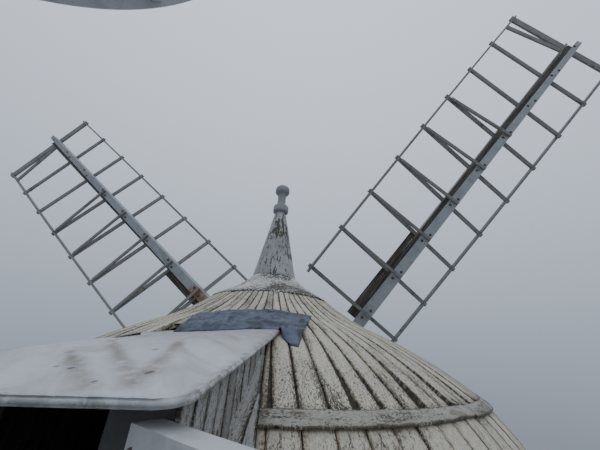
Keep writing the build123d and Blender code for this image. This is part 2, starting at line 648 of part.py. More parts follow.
def build_sails():
    frame = sail_frame()
    back = tapered(BACK_START, BACK_END, (BACK_ROOT_WIDTH, BACK_ROOT_DEPTH),
                   (BACK_TIP_WIDTH, BACK_TIP_DEPTH), BACK_FRONT)
    whip = Pos(WHIP_SHIFT, 0, 0) * tapered(
        WHIP_START, WHIP_END, (WHIP_WIDTH_ROOT, WHIP_DEPTH), (WHIP_WIDTH_TIP, WHIP_DEPTH),
        BACK_FRONT - WHIP_DEPTH) - frame
    stays = []
    for radius in bar_radii()[:STAYED_BARS]:
        outer = on_bar(radius, -TRAILING_WIDTH + STAY_REACH)
        share = (radius - BACK_START) / (BACK_END - BACK_START)
        rear = BACK_FRONT + BACK_ROOT_DEPTH + (BACK_TIP_DEPTH - BACK_ROOT_DEPTH) * share
        lift = (BAR_DEPTH + STAY_DEPTH) / 2
        start = (outer[0], outer[1], outer[2] + lift)
        end = (STAY_REACH, radius, rear + STAY_DEPTH / 2)
        stays.append(beam(start, end, STAY_WIDTH, STAY_DEPTH, (0, 1, 0)) - frame - back - whip)
    clamp_end = HEEL_RADIUS + CLAMP_BAYS * BAY_LENGTH
    whip_side = WHIP_SHIFT - WHIP_WIDTH_ROOT / 2
    clamp = block((whip_side - CLAMP_WIDTH, whip_side), (WHIP_START, clamp_end),
                  (BACK_FRONT - WHIP_DEPTH, BACK_FRONT)) - frame
    names = ["upper_left", "upper_right", "lower_right", "lower_left"]
    places = [SHAFT_PLANE.location * Rot(0, 0, -(SAIL_ANGLE + 90 * (n - 1))) for n in range(SAIL_COUNT)]
    for name, place in zip(names, places):
        save(f"sail_frame_{name}", place * frame)
    save("sail_backs", *[place * back for place in places])
    save("sail_whips", *[place * whip for place in places])
    save("sail_clamps", *[place * piece for place in places for piece in clamp.solids()])
    save("sail_stays", *[place * stay for place in places for stay in stays])
    rear = BACK_FRONT + BACK_ROOT_DEPTH
    cross = along_shaft(BOSS_RADIUS, BOSS_FRONT, BOSS_REAR)
    for number in range(SAIL_COUNT):
        arm = block((-ARM_WIDTH / 2, ARM_WIDTH / 2), (0, ARM_LENGTH), (rear, rear + ARM_DEPTH))
        cross += SHAFT_PLANE.location * Rot(0, 0, -(SAIL_ANGLE + 90 * number)) * arm
    save("sail_cross", cross)
    save("windshaft", along_shaft(SHAFT_RADIUS, BOSS_REAR, SHAFT_TAIL))


# Fan stage and fantail

def rail_stops():
    """Plan of the guard rail's corners on one side, from the hatch round to the rear."""
    side = STAGE_HALF_WIDTH - POST_SIZE
    return [(RAIL_HATCH_X, RAIL_HATCH_Y), (side, RAIL_CORNER_Y), (side, STAGE_REAR - POST_SIZE)]


def rail_round(height, depth):
    """The guard rail on both sides and across the rear, its top face at the given height."""
    middle = height - depth / 2
    rail = None
    for side in (-1, 1):
        stops = [(side * x, y, middle) for x, y in rail_stops()]
        stops.append((0, stops[-1][1], middle))
        for start, end in zip(stops, stops[1:]):
            length = beam(start, end, RAIL_WIDTH, depth, (start[1] - end[1], end[0] - start[0], 0))
            rail = length if rail is None else rail + length
        corner_block = Box(RAIL_WIDTH, RAIL_WIDTH, depth)
        for x, y, z in stops[1:3]:
            rail += Pos(x, y, z) * corner_block
    return rail


def build_stage():
    step = (STAGE_REAR - STAGE_START - JOIST_WIDTH) / (JOIST_COUNT - 1)
    joists = []
    for number in range(JOIST_COUNT):
        low = STAGE_START + step * number
        joists.append(block((-STAGE_HALF_WIDTH, STAGE_HALF_WIDTH), (low, low + JOIST_WIDTH),
                            (SHEER_TOP, SHEER_TOP + JOIST_DEPTH)))
    save("stage_joists", *joists)
    save("stage_floor", block((-STAGE_HALF_WIDTH, STAGE_HALF_WIDTH), (STAGE_START, STAGE_REAR),
                              (STAGE_TOP - STAGE_BOARD, STAGE_TOP)))
    side = STAGE_HALF_WIDTH - POST_SIZE
    rear = STAGE_REAR - POST_SIZE
    rail_low = STAGE_TOP + RAIL_HEIGHT - RAIL_DEPTH
    feet = [(side, RAIL_CORNER_Y), (side, (RAIL_CORNER_Y + rear) / 2), (side, rear)]
    posts = [Pos(turn * x, y, (STAGE_TOP + rail_low) / 2) * Box(POST_SIZE, POST_SIZE, rail_low - STAGE_TOP)
             for turn in (-1, 1) for x, y in feet]
    save("stage_posts", *posts)
    save("stage_rails", rail_round(STAGE_TOP + RAIL_HEIGHT, RAIL_DEPTH))


def fan_place():
    return Pos(0, FAN_Y, HUB_HEIGHT + FAN_RISE)


def blade_outline():
    """One fan blade, widening outwards to an edge that follows the fan's own circle."""
    root, tip = BLADE_ROOT_WIDTH / 2, BLADE_TIP_WIDTH / 2
    tip_z = sqrt(FAN_RADIUS ** 2 - tip ** 2)
    sides = Polyline((-tip, tip_z), (-root, BLADE_ROOT_RADIUS), (root, BLADE_ROOT_RADIUS), (tip, tip_z))
    return make_face([sides, ThreePointArc((tip, tip_z), (0, FAN_RADIUS), (-tip, tip_z))])


def build_fan():
    centre_z = HUB_HEIGHT + FAN_RISE
    post_x = FAN_POST_SPACING / 2
    legs = []
    for side in (-1, 1):
        frame = None
        for lean in (-1, 1):
            foot = (side * post_x, FAN_Y + lean * FAN_POST_SPREAD, STAGE_TOP)
            head = (side * post_x, FAN_Y, centre_z - BEARING_BLOCK)
            leg = beam(foot, head, FAN_POST_SIZE, FAN_POST_SIZE * 0.75, (1, 0, 0))
            frame = leg if frame is None else frame + leg
        top = block((side * post_x - FAN_POST_SIZE / 2, side * post_x + FAN_POST_SIZE / 2),
                    (FAN_Y - BEARING_BLOCK, FAN_Y + BEARING_BLOCK),
                    (centre_z - BEARING_BLOCK, centre_z + BEARING_BLOCK))
        frame += top
        frame &= block((-2 * post_x, 2 * post_x), (0, 2 * FAN_Y), (STAGE_TOP, centre_z + 2 * BEARING_BLOCK))
        frame -= fan_place() * Rot(0, 90, 0) * Cylinder(FAN_AXLE_RADIUS + SHAFT_CLEARANCE, 4 * post_x)
        legs.append(frame)
    save("fan_posts", *legs)
    axle_length = FAN_POST_SPACING + 2 * FAN_POST_SIZE
    axle = Rot(0, 90, 0) * (Cylinder(FAN_AXLE_RADIUS, axle_length) + Cylinder(FAN_HUB_RADIUS, FAN_HUB_LENGTH))
    save("fan_axle", fan_place() * axle)
    spokes, blades = [], []
    for number in range(FAN_BLADES):
        spin = fan_place() * Rot(FAN_TURN + number * 360 / FAN_BLADES, 0, 0)
        spoke = Pos(0, 0, (FAN_HUB_RADIUS + FAN_RADIUS - SPOKE_INSET) / 2) * Rot(0, 0, BLADE_PITCH) * Box(
            SPOKE_SIZE, SPOKE_SIZE, FAN_RADIUS - SPOKE_INSET - FAN_HUB_RADIUS)
        blade = extrude(Plane.YZ * blade_outline(), BLADE_THICKNESS)
        for side in (-1, 1):
            blade += Pos(-BATTEN_DEPTH / 2, side * BATTEN_SPREAD, (BATTEN_START + BATTEN_END) / 2) * Box(
                BATTEN_DEPTH, BATTEN_WIDTH, BATTEN_END - BATTEN_START)
        blade = Rot(0, 0, BLADE_PITCH) * Pos(SPOKE_SIZE / 2, 0, 0) * blade
        hub = Rot(0, 90, 0) * Cylinder(FAN_HUB_RADIUS, FAN_HUB_LENGTH)
        spokes.append(spin * (spoke - hub))
        blades.append(spin * blade)
    save("fan_spokes", *spokes)
    save("fan_blades", *blades)


os.makedirs("parts", exist_ok=True)
build_tower()
build_tower_trim()
build_tower_door()
build_curb()
build_cap_shell()
build_dormer()
build_cap_top()
build_cap_frame()
build_sails()
build_stage()
build_fan()
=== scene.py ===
import json
import random
from math import atan2, cos, hypot, pi, radians, sin, sqrt, tan

import bmesh
import bpy
from mathutils import Matrix, Vector, noise

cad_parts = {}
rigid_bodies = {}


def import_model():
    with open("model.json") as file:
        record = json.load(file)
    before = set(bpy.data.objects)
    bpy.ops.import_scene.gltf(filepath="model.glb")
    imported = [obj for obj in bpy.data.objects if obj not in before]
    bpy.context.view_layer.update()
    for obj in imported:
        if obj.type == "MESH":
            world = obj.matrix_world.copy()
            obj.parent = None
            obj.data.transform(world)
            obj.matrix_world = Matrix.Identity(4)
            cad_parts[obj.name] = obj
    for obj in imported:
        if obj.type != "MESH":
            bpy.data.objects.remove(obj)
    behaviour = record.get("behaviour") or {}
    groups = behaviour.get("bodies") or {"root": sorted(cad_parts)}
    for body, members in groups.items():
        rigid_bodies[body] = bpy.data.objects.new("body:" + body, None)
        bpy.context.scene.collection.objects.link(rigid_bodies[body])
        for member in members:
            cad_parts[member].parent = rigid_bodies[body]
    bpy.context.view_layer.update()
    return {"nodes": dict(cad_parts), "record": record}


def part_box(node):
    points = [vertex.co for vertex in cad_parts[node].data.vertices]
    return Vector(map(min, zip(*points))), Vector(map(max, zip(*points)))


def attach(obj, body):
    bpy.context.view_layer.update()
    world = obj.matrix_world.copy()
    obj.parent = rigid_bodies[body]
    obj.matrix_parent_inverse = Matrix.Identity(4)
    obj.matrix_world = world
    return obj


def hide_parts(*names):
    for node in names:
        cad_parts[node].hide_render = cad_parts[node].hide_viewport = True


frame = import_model()

# Places carried over from the frame, in metres
CURB_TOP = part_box("curb_ring")[1][2]
STAGE_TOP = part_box("stage_floor")[1][2]
HUB = Vector((0.0, -3.1, CURB_TOP + 1.45))
SHAFT_TILT = radians(10)

# The cap's outline, as radii and heights
CAP_RADIUS = 2.6
SKIRT_Z = CURB_TOP - 0.25
STRAIGHT_TOP_Z = CURB_TOP + 1.0
KNUCKLE = (2.2, CURB_TOP + 1.95)
OGEE_TURN = (1.33, CURB_TOP + 2.47)
OGEE_TURN_SLOPE = radians(23)
SPIRE_FOOT = (0.76, CURB_TOP + 2.815)
CONE_RADII = (0.312, 0.080)
CONE_FOOT_Z = CURB_TOP + 3.15
CONE_TOP_Z = CURB_TOP + 4.21

# Boards round the cap
BOARD_COUNT = 90
BOARD_PROUD = 0.012
BOARD_THICK = 0.03
BOARD_VARIANTS = 9
RING_TONE_SEED = 41

# Dormer and its canopy
DORMER_HALF = 0.45
DORMER_CUT = radians(15)
DORMER_FRONT = 2.65
CHEEK_BACK = 1.76
CHEEK_BOARD_THICK = 0.016
CANOPY_EDGE = (2.84, HUB.z + 0.64)
CANOPY_SLOPE = radians(12.7)
CANOPY_UP = Vector((0, sin(CANOPY_SLOPE), cos(CANOPY_SLOPE)))
CANOPY_HALF = 0.52
CANOPY_BACK = 1.52
CANOPY_THICK = 0.026
CANOPY_CORNER = 0.08
FLASHING_ENDS = (0.27, -0.66)
FLAP_FROM = -0.50

# Tower and its openings: width, height and the arch's rise
TOWER_HEIGHT = CURB_TOP - 0.18
TOWER_RADII = (3.75, 2.42)
BRICK_RADIUS = 3.15
ARCH_STRAY = 0.004
STOREYS = 5
WINDOW = (0.78, 1.18, 0.11)
DOOR = (1.15, 2.15, 0.11)
FRAME_FACE = 0.07
FRAME_RECESS = 0.11
SILL_RISE = 0.95
DOOR_STEP = 0.15
DOOR_BOARD_THICK = 0.018
HALF_TURN = Matrix.Rotation(pi, 4, "Z")

# Sails: their backs' start and end, front face, and depth at both ends
SAIL_ANGLE = 39.4
HEEL_RADIUS = 2.225
BAY = 1.07
BAYS = 8
BACK_SPAN = (0.35, HEEL_RADIUS + BAYS * BAY + 0.075)
BACK_FRONT = 0.12
BACK_DEPTHS = (0.20, 0.12)

# Guard rail of the fan stage: its end by the hatch, its corner, its bolts' height
RAIL_END = Vector((0.395, 2.694, 0))
RAIL_CORNER = Vector((1.2050, 3.108, 0))
RAIL_BOLT_Z = STAGE_TOP + 1.225

# The photograph's camera: directions, and focal length in pixels of its width
HEADING, PITCH, ROLL = radians(-10.282), radians(25.984), radians(3.533)
EYE = (-0.96773, 3.57024, HUB.z + 0.76918)
FOCAL, PHOTO_WIDTH = 267.89, 600


def clamped(value):
    return min(max(value, 0.0), 1.0)


def eased(value):
    """Rises smoothly from 0 to 1 as value does."""
    share = clamped(value)
    return share * share * (3 - 2 * share)


# The cap's outline

def arc_through(start, tangent, end, steps):
    """Points on the arc that leaves start along tangent and reaches end."""
    along = Vector(tangent).normalized()
    normal = Vector((-along.y, along.x))
    chord = Vector(end) - Vector(start)
    radius = chord.length_squared / (2 * chord.dot(normal))
    centre = Vector(start) + normal * radius
    turn = 2 * atan2(chord.dot(normal), chord.dot(along))
    spoke = Vector(start) - centre
    points = []
    for step in range(steps + 1):
        angle = turn * step / steps
        points.append((
            centre.x + spoke.x * cos(angle) - spoke.y * sin(angle),
            centre.y + spoke.x * sin(angle) + spoke.y * cos(angle),
        ))
    return points


def lower_line(steps=22):
    """The cap's outer line below the knuckle, from the skirt up."""
    skirt = [(CAP_RADIUS, SKIRT_Z), (CAP_RADIUS, STRAIGHT_TOP_Z - 0.5)]
    return skirt + arc_through((CAP_RADIUS, STRAIGHT_TOP_Z), (0, 1), KNUCKLE, steps)


def upper_line(steps=12):
    """The cap's outer line above the knuckle, from the knuckle up."""
    slope = (cos(OGEE_TURN_SLOPE), -sin(OGEE_TURN_SLOPE))
    shoulder = arc_through(OGEE_TURN, slope, KNUCKLE, steps)
    hollow = arc_through(OGEE_TURN, (-slope[0], -slope[1]), SPIRE_FOOT, steps)
    return shoulder[::-1] + hollow[1:]


CAP_LINE = lower_line(24) + upper_line(24)[1:]


def cap_height(radius):
    for (r0, z0), (r1, z1) in zip(CAP_LINE, CAP_LINE[1:]):
        if r1 <= radius <= r0:
            return z0 + (z1 - z0) * (r0 - radius) / max(r0 - r1, 1e-6)
    return CAP_LINE[-1][1]


def cap_radius(height):
    for (r0, z0), (r1, z1) in zip(CAP_LINE, CAP_LINE[1:]):
        if z0 <= height <= z1:
            return r0 + (r1 - r0) * (height - z0) / max(z1 - z0, 1e-6)
    return CAP_LINE[-1][0]


def sail_place(number):
    """The frame of one sail: Y along its back, Z towards the rear."""
    lean = Vector((0, sin(SHAFT_TILT), cos(SHAFT_TILT)))
    shaft = Vector((0, cos(SHAFT_TILT), -sin(SHAFT_TILT)))
    axes = Matrix((Vector((-1, 0, 0)), lean, shaft)).transposed().to_4x4()
    return Matrix.Translation(HUB) @ axes @ Matrix.Rotation(-radians(SAIL_ANGLE + 90 * number), 4, "Z")


# Steps that the node trees are built from

def fill(node, inputs):
    """Sets each input, or links it where the value comes from another node."""
    for key, value in inputs.items():
        if isinstance(value, bpy.types.NodeSocket):
            node.id_data.links.new(value, node.inputs[key])
        else:
            node.inputs[key].default_value = value


def add(tree, kind, inputs=None, **settings):
    node = tree.nodes.new(kind)
    for name, value in settings.items():
        setattr(node, name, value)
    fill(node, inputs or {})
    return node


def worked(operation, first, second=0.0, clamp=False):
    """One sum on two values, at least one of them another node's result."""
    tree = (first if isinstance(first, bpy.types.NodeSocket) else second).id_data
    node = add(tree, "ShaderNodeMath", {0: first, 1: second}, operation=operation, use_clamp=clamp)
    return node.outputs[0]


def times(first, second):
    return worked("MULTIPLY", first, second, True)


def plus(first, second):
    return worked("ADD", first, second, True)


def mapped(place, scale=(1, 1, 1), turn=(0, 0, 0), shift=(0, 0, 0)):
    inputs = {"Vector": place, "Scale": scale, "Rotation": turn, "Location": shift}
    return add(place.id_data, "ShaderNodeMapping", inputs).outputs[0]


def place_on(tree, **moves):
    return mapped(tree.nodes.new("ShaderNodeTexCoord").outputs["Object"], **moves)


def layer_of(tree, name, kind="Fac"):
    """What a piece's own mesh carries under this name."""
    return add(tree, "ShaderNodeAttribute", attribute_name=name).outputs[kind]


def cloud(place, scale, detail=4.0, roughness=0.55, distortion=0.0):
    inputs = {"Vector": place, "Scale": scale, "Detail": detail, "Roughness": roughness,
              "Distortion": distortion}
    return add(place.id_data, "ShaderNodeTexNoise", inputs).outputs["Fac"]


def between(value, low, high):
    """Runs from 0 to 1 as value goes from low to high."""
    inputs = {"Value": value, "From Min": low, "From Max": high}
    return add(value.id_data, "ShaderNodeMapRange", inputs, interpolation_type="SMOOTHSTEP").outputs[0]


def blend(share, first, second):
    """Goes from the first colour to the second as share goes from 0 to 1."""
    ends = [(*end, 1.0) if isinstance(end, tuple) else end for end in (first, second)]
    inputs = {0: share, 6: ends[0], 7: ends[1]}
    return add(share.id_data, "ShaderNodeMix", inputs, data_type="RGBA").outputs[2]


def ranging(share, low, high):
    """A plain value that goes from low to high with share."""
    return blend(share, (low,) * 3, (high,) * 3)


def dimmed(colour, share):
    return tuple(c * share for c in colour)


def spot_on(place, centre, reach):
    """Is 1 at the middle of an oval spot and falls to 0 at its rim."""
    scale = [1 / size for size in reach] + [0]
    shift = [-middle / size for middle, size in zip(centre, reach)] + [0]
    offset = mapped(place, scale, shift=shift)
    length = add(place.id_data, "ShaderNodeVectorMath", {0: offset}, operation="LENGTH")
    return between(length.outputs["Value"], 1.0, 0.6)


def sail_upright(tree):
    """Places on the sails seen with the first sail's back upright."""
    upright = sail_place(0).inverted()
    return place_on(tree, turn=upright.to_euler(), shift=upright.translation)


def sail_lay(tree, crosswise=False):
    """Places on the sails, turned so that Y runs with the grain of each timber."""
    place = sail_upright(tree)
    x, y, z = add(tree, "ShaderNodeSeparateXYZ", {"Vector": place}).outputs
    sizes = [worked("ABSOLUTE", y), worked("ABSOLUTE", x)]
    level = worked("GREATER_THAN", *(sizes if crosswise else sizes[::-1]))
    turned = add(tree, "ShaderNodeCombineXYZ", {"X": y, "Y": x, "Z": z}).outputs[0]
    return add(tree, "ShaderNodeMix", {0: level, 4: place, 5: turned}, data_type="VECTOR").outputs[1]


def bar_lay(tree):
    return sail_lay(tree, crosswise=True)


# Recipes for the finishes: each returns what goes into the shader, and its relief

def flaked_paint(tree, paint, wood, bare, algae, grain, lay=place_on):
    """White paint that flakes along the grain, with wood, dirt and algae showing through."""
    along, around = mapped(lay(tree), grain), place_on(tree)
    flakes = cloud(along, 1.4, 9, 0.66, 0.4)
    patches = cloud(around, 2.3, 3, 0.5)
    worn = plus(times(flakes, 0.62), times(patches, 0.42))
    lost = between(worn, 1.02 - bare, 1.06 - bare)
    dirt = between(cloud(around, 5.5, 6, 0.62, 0.3), 0.42, 0.72)
    paint_tones = blend(dirt, paint, dimmed(paint, 0.72))
    wood_tones = blend(cloud(along, 3.1, 8, 0.7), dimmed(wood, 0.35), wood)
    green = between(cloud(around, 3.4, 5, 0.6, 0.6), 0.80 - 0.4 * algae, 0.95 - 0.4 * algae)
    specks = between(cloud(around, 42, 3, 0.6), 0.56, 0.66)
    growth = times(green, plus(times(specks, 0.8), 0.25))
    colour = blend(growth, blend(lost, paint_tones, wood_tones), (0.085, 0.082, 0.048))
    height = worked("SUBTRACT", times(flakes, 0.5), times(lost, 0.35))
    return {"Base Color": colour, "Roughness": ranging(lost, 0.55, 0.9), "Relief": (height, 0.004)}


def rusted_back(tree, *values):
    """Flaked paint with rust that has run over one place on the back of a sail."""
    look = flaked_paint(tree, *values)
    ragged = between(cloud(place_on(tree), 14, 5, 0.65), 0.34, 0.52)
    share = times(spot_on(sail_upright(tree), RUST_PLACE, RUST_REACH), ragged)
    look["Base Color"] = blend(share, look["Base Color"], (0.23, 0.115, 0.050))
    return look


def board_paint(tree, paint, stained, age=1.0):
    """Thick old paint on boards: crazed all over, lost along edges and at the low ends."""
    grain, spread = (layer_of(tree, layer, "Vector") for layer in ("grain", "spread"))
    across, along, _ = add(tree, "ShaderNodeSeparateXYZ", {"Vector": spread}).outputs
    edge = between(worked("ABSOLUTE", across), 0.66, 1.02)
    foot = between(along, 0.30, 0.0)
    fine = cloud(mapped(grain, (120, 62, 1)), 1.0, 4, 0.62, 0.8)
    coarse = cloud(mapped(grain, (46, 17, 1)), 1.0, 5, 0.68, 1.1)
    broad = cloud(mapped(grain, (9, 2.6, 1)), 1.0, 4, 0.6, 0.5)
    streaks = cloud(mapped(grain, (16, 4.0, 1)), 1.0, 6, 0.66, 1.4)
    crazing = add(tree, "ShaderNodeTexVoronoi", {"Vector": mapped(grain, (75, 34, 1)), "Scale": 1.0},
                  feature="DISTANCE_TO_EDGE")
    patch = between(broad, 0.44, 0.70)
    stress = plus(plus(times(edge, 0.09 * age), times(foot, 0.07 * age)), times(patch, 0.11 * age))
    flecks = between(plus(fine, stress), 0.60, 0.66)
    losses = between(plus(coarse, stress), 0.69, 0.73)
    lines = times(between(crazing.outputs["Distance"], 0.045, 0.015),
                  between(plus(broad, stress), 0.50, 0.72))
    bare = worked("MAXIMUM", worked("MAXIMUM", flecks, losses, True), lines, True)
    cover = blend(between(fine, 0.35, 0.62), paint, dimmed(paint, 0.78))
    stain = between(plus(streaks, times(edge, 0.14)), 0.50, 0.74)
    cover = blend(times(stain, 0.80 * age), cover, stained)
    shade = times(between(layer_of(tree, "plank"), 0.45, 1.0), 0.40)
    cover = blend(shade, cover, dimmed(stained, 0.70))
    timber = blend(between(fine, 0.4, 0.6), (0.022, 0.019, 0.016), (0.13, 0.11, 0.085))
    around = place_on(tree)
    moss = between(cloud(around, 2.6, 4, 0.55, 0.5), 0.56, 0.72)
    tufts = between(cloud(around, 36, 5, 0.7, 0.5), 0.49, 0.58)
    colour = blend(times(times(moss, tufts), 0.9), blend(bare, cover, timber), (0.070, 0.052, 0.018))
    height = worked("SUBTRACT", times(coarse, 0.5), times(bare, 0.30))
    return {"Base Color": colour, "Roughness": ranging(bare, 0.62, 0.92), "Relief": (height, 0.004)}


def dark_timber(tree, light, dark, grain=(30, 30, 2.0), lay=place_on):
    streaks = cloud(mapped(lay(tree), grain), 1.5, 8, 0.65, 0.5)
    colour = blend(between(streaks, 0.35, 0.7), dark, light)
    return {"Base Color": colour, "Roughness": 0.85, "Relief": (streaks, 0.003)}


def rusting_iron(tree, paint, rust, rusted=0.35):
    around = place_on(tree)
    spots = between(cloud(around, 6.0, 8, 0.62), 0.75 - rusted, 0.9 - rusted)
    colour = blend(spots, paint, blend(cloud(around, 30, 4), rust, (0.10, 0.045, 0.02)))
    return {"Base Color": colour, "Roughness": ranging(spots, 0.5, 0.85),
            "Relief": (cloud(around, 60, 5), 0.0015)}


def lead_sheet(tree, bright, dull):
    around = place_on(tree)
    colour = blend(between(cloud(around, 9, 6, 0.65, 0.8), 0.35, 0.65), dull, bright)
    return {"Base Color": colour, "Metallic": 0.35, "Roughness": 0.48,
            "Relief": (cloud(around, 34, 5), 0.003)}


def brick_courses(tree, dark, light, mortar):
    """Tarred brick on the round tower, read from the angle and height about its axis."""
    where = tree.nodes.new("ShaderNodeTexCoord").outputs["Object"]
    x, y, z = add(tree, "ShaderNodeSeparateXYZ", {"Vector": where}).outputs
    girth = worked("MULTIPLY", worked("ARCTAN2", y, x), BRICK_RADIUS)
    flat = add(tree, "ShaderNodeCombineXYZ", {"X": girth, "Y": z}).outputs[0]
    bricks = add(tree, "ShaderNodeTexBrick", {
        "Vector": flat, "Scale": 1.0, "Mortar Size": 0.006, "Mortar Smooth": 0.25, "Brick Width": 0.225,
        "Row Height": 0.075, "Color1": (*dark, 1), "Color2": (*light, 1), "Mortar": (*mortar, 1),
    }).outputs
    weather = between(cloud(where, 1.1, 6, 0.6, 0.4), 0.45, 0.75)
    height = plus(worked("SUBTRACT", 1.0, bricks["Fac"]), times(cloud(where, 40, 4), 0.2))
    return {"Base Color": blend(weather, bricks["Color"], (0.115, 0.085, 0.070)),
            "Roughness": ranging(weather, 0.5, 0.85), "Relief": (height, 0.008)}


def clear_glass(tree, dark, light):
    return {"Base Color": blend(cloud(place_on(tree), 1.5, 3), dark, light),
            "Roughness": 0.06, "Transmission Weight": 0.85, "IOR": 1.5}


def stained_sheet(tree, white, stained):
    """The canopy's white sheet with rain stains, dirt runs and small dark chips."""
    around = place_on(tree)
    runs = mapped(place_on(tree, turn=(0, 0, -0.7)), (3.4, 0.9, 3.4))
    stain = between(cloud(runs, 1.25, 5, 0.55, 1.2), 0.46, 0.80)
    colour = blend(times(stain, 0.75), white, stained)
    drip = times(layer_of(tree, "drip"), between(cloud(around, 16, 5, 0.65), 0.26, 0.56))
    colour = blend(drip, colour, (0.22, 0.18, 0.13))
    film = between(cloud(around, 26, 5, 0.7), 0.48, 0.75)
    colour = blend(times(film, 0.4), colour, (0.36, 0.36, 0.35))
    moss = times(layer_of(tree, "rim"), between(cloud(around, 22, 6, 0.72), 0.41, 0.57))
    colour = blend(times(moss, 0.9), colour, (0.11, 0.10, 0.07))
    for x, y, size in CANOPY_CHIPS:
        colour = blend(spot_on(around, (x, y), (size, size * 1.6)), colour, (0.05, 0.042, 0.035))
    return {"Base Color": colour, "Roughness": ranging(stain, 0.28, 0.62),
            "Relief": (cloud(around, 18, 4, 0.6), 0.0012)}


def finish(name, recipe, *values):
    """A material from one of the recipes."""
    material = bpy.data.materials.new(name)
    material.use_nodes = True
    tree = material.node_tree
    look = recipe(tree, *values)
    if "Relief" in look:
        height, distance = look.pop("Relief")
        bump = add(tree, "ShaderNodeBump", {"Height": height, "Distance": distance, "Strength": 1.0})
        look["Normal"] = bump.outputs[0]
    fill(tree.nodes["Principled BSDF"], look)
    return material


# Marks that the photograph shows. Rust: its middle and reach on the upright sail.
# Canopy, seen from above: chips with their sizes, and runs of dirt from head to foot.
RUST_PLACE, RUST_REACH = (-3.23, -0.05), (0.34, 0.22)
CANOPY_CHIPS = ((0.0, 2.625, 0.012), (-0.297, 2.604, 0.016), (-0.20, 2.721, 0.009), (0.07, 2.617, 0.009),
                (0.338, 2.068, 0.014), (-0.076, 2.287, 0.013))
CANOPY_RUNS = (((-0.01, 1.93), (-0.29, 2.62)), ((0.37, 2.08), (-0.33, 2.71)), ((0.25, 2.42), (-0.21, 2.76)))

GREY_WOOD = (0.26, 0.225, 0.175)
BAND = ((0.52, 0.50, 0.42), (0.09, 0.075, 0.055))
# Hatch frame: dark grey paint and bare wood, both darkened further as painted shade for the canopy's shadow
# over the hatch
JAMB_IN_PAINTED_SHADE = ((0.082, 0.080, 0.078), (0.05, 0.042, 0.035))
CONE = ((0.35, 0.35, 0.345), (0.11, 0.098, 0.08))
SKIRT = ((0.54, 0.53, 0.49), (0.12, 0.10, 0.065))
FINIAL = ((0.24, 0.245, 0.25), (0.08, 0.07, 0.06))
SAIL_WHITE = ((0.29, 0.30, 0.31), (0.12, 0.10, 0.085))
BAR_WHITE = ((0.19, 0.185, 0.17), (0.06, 0.05, 0.04))
WHIP = ((0.14, 0.125, 0.105), (0.030, 0.026, 0.022))
RECIPES = {
    "cap_board_paint": (board_paint, (0.59, 0.540, 0.420), (0.235, 0.165, 0.070)),
    "strip_paint": (board_paint, (0.38, 0.36, 0.295), (0.15, 0.115, 0.06), 1.6),
    "cheek_paint": (board_paint, (0.40, 0.39, 0.36), (0.13, 0.115, 0.085), 0.95),
    "band_paint": (flaked_paint, *BAND, 0.46, 0.45, (26, 26, 60)),
    # Near-black timber for the CAD boarding beneath the visible boards: painted shade that shows in the gaps
    # between them
    "gap_shade_boards": (dark_timber, (0.075, 0.062, 0.050), (0.018, 0.015, 0.012)),
    # Hatch frame and dormer returns: dark grey paint that also carries painted shade from the canopy
    "frame_paint_and_shade": (flaked_paint, *JAMB_IN_PAINTED_SHADE, 0.34, 0.15, (22, 22, 3)),
    "spire_paint": (flaked_paint, *CONE, 0.455, 0.85, (26, 26, 5)),
    "skirt_paint": (flaked_paint, *SKIRT, 0.53, 0.85, (34, 34, 20)),
    "bolt_iron": (rusting_iron, (0.075, 0.065, 0.058), (0.13, 0.07, 0.04), 0.30),
    "finial_grey": (flaked_paint, *FINIAL, 0.40, 0.7, (30, 30, 18)),
    "arch_brick": (dark_timber, (0.078, 0.058, 0.050), (0.030, 0.027, 0.025), (14, 14, 14)),
    "sail_white": (rusted_back, *SAIL_WHITE, 0.30, 0.0, (20, 1.3, 20), sail_lay),
    "fan_white": (flaked_paint, (0.40, 0.405, 0.41), (0.14, 0.12, 0.10), 0.20, 0.0, (9, 9, 9)),
    "bar_paint": (flaked_paint, *BAR_WHITE, 0.42, 0.0, (30, 3, 30), bar_lay),
    "stage_white": (flaked_paint, (0.52, 0.525, 0.525), GREY_WOOD, 0.22, 0.0, (9, 9, 9)),
    "joinery_white": (flaked_paint, (0.66, 0.65, 0.62), GREY_WOOD, 0.26, 0.05, (8, 8, 3)),
    "whip_timber": (dark_timber, *WHIP, (24, 1.2, 24), sail_lay),
    "fan_timber": (dark_timber, (0.13, 0.11, 0.09), (0.035, 0.030, 0.025), (9, 9, 9)),
    "aged_oak": (dark_timber, (0.25, 0.18, 0.12), (0.10, 0.07, 0.045), (12, 1.2, 12)),
    "deck_timber": (dark_timber, (0.34, 0.31, 0.27), (0.15, 0.13, 0.11), (24, 1.5, 24)),
    "floor_timber": (dark_timber, (0.40, 0.29, 0.18), (0.20, 0.14, 0.09), (10, 1.2, 10)),
    "door_green": (flaked_paint, (0.045, 0.10, 0.075), GREY_WOOD, 0.20, 0.0, (26, 26, 2)),
    "iron": (rusting_iron, (0.06, 0.058, 0.055), (0.30, 0.13, 0.05)),
    "lead": (lead_sheet, (0.098, 0.120, 0.160), (0.018, 0.023, 0.034)),
    "tarred_brick": (brick_courses, (0.035, 0.033, 0.032), (0.060, 0.050, 0.045), (0.090, 0.085, 0.078)),
    "paving": (rusting_iron, (0.30, 0.20, 0.15), (0.36, 0.28, 0.22), 0.3),
    "sill_stone": (dark_timber, (0.52, 0.49, 0.43), (0.33, 0.31, 0.27), (5, 5, 5)),
    "glass": (clear_glass, (0.55, 0.60, 0.62), (0.72, 0.76, 0.77)),
    "canopy_sheet": (stained_sheet, (0.55, 0.565, 0.575), (0.30, 0.285, 0.25)),
}
FINISHES = {name: finish(name, *recipe) for name, recipe in RECIPES.items()}
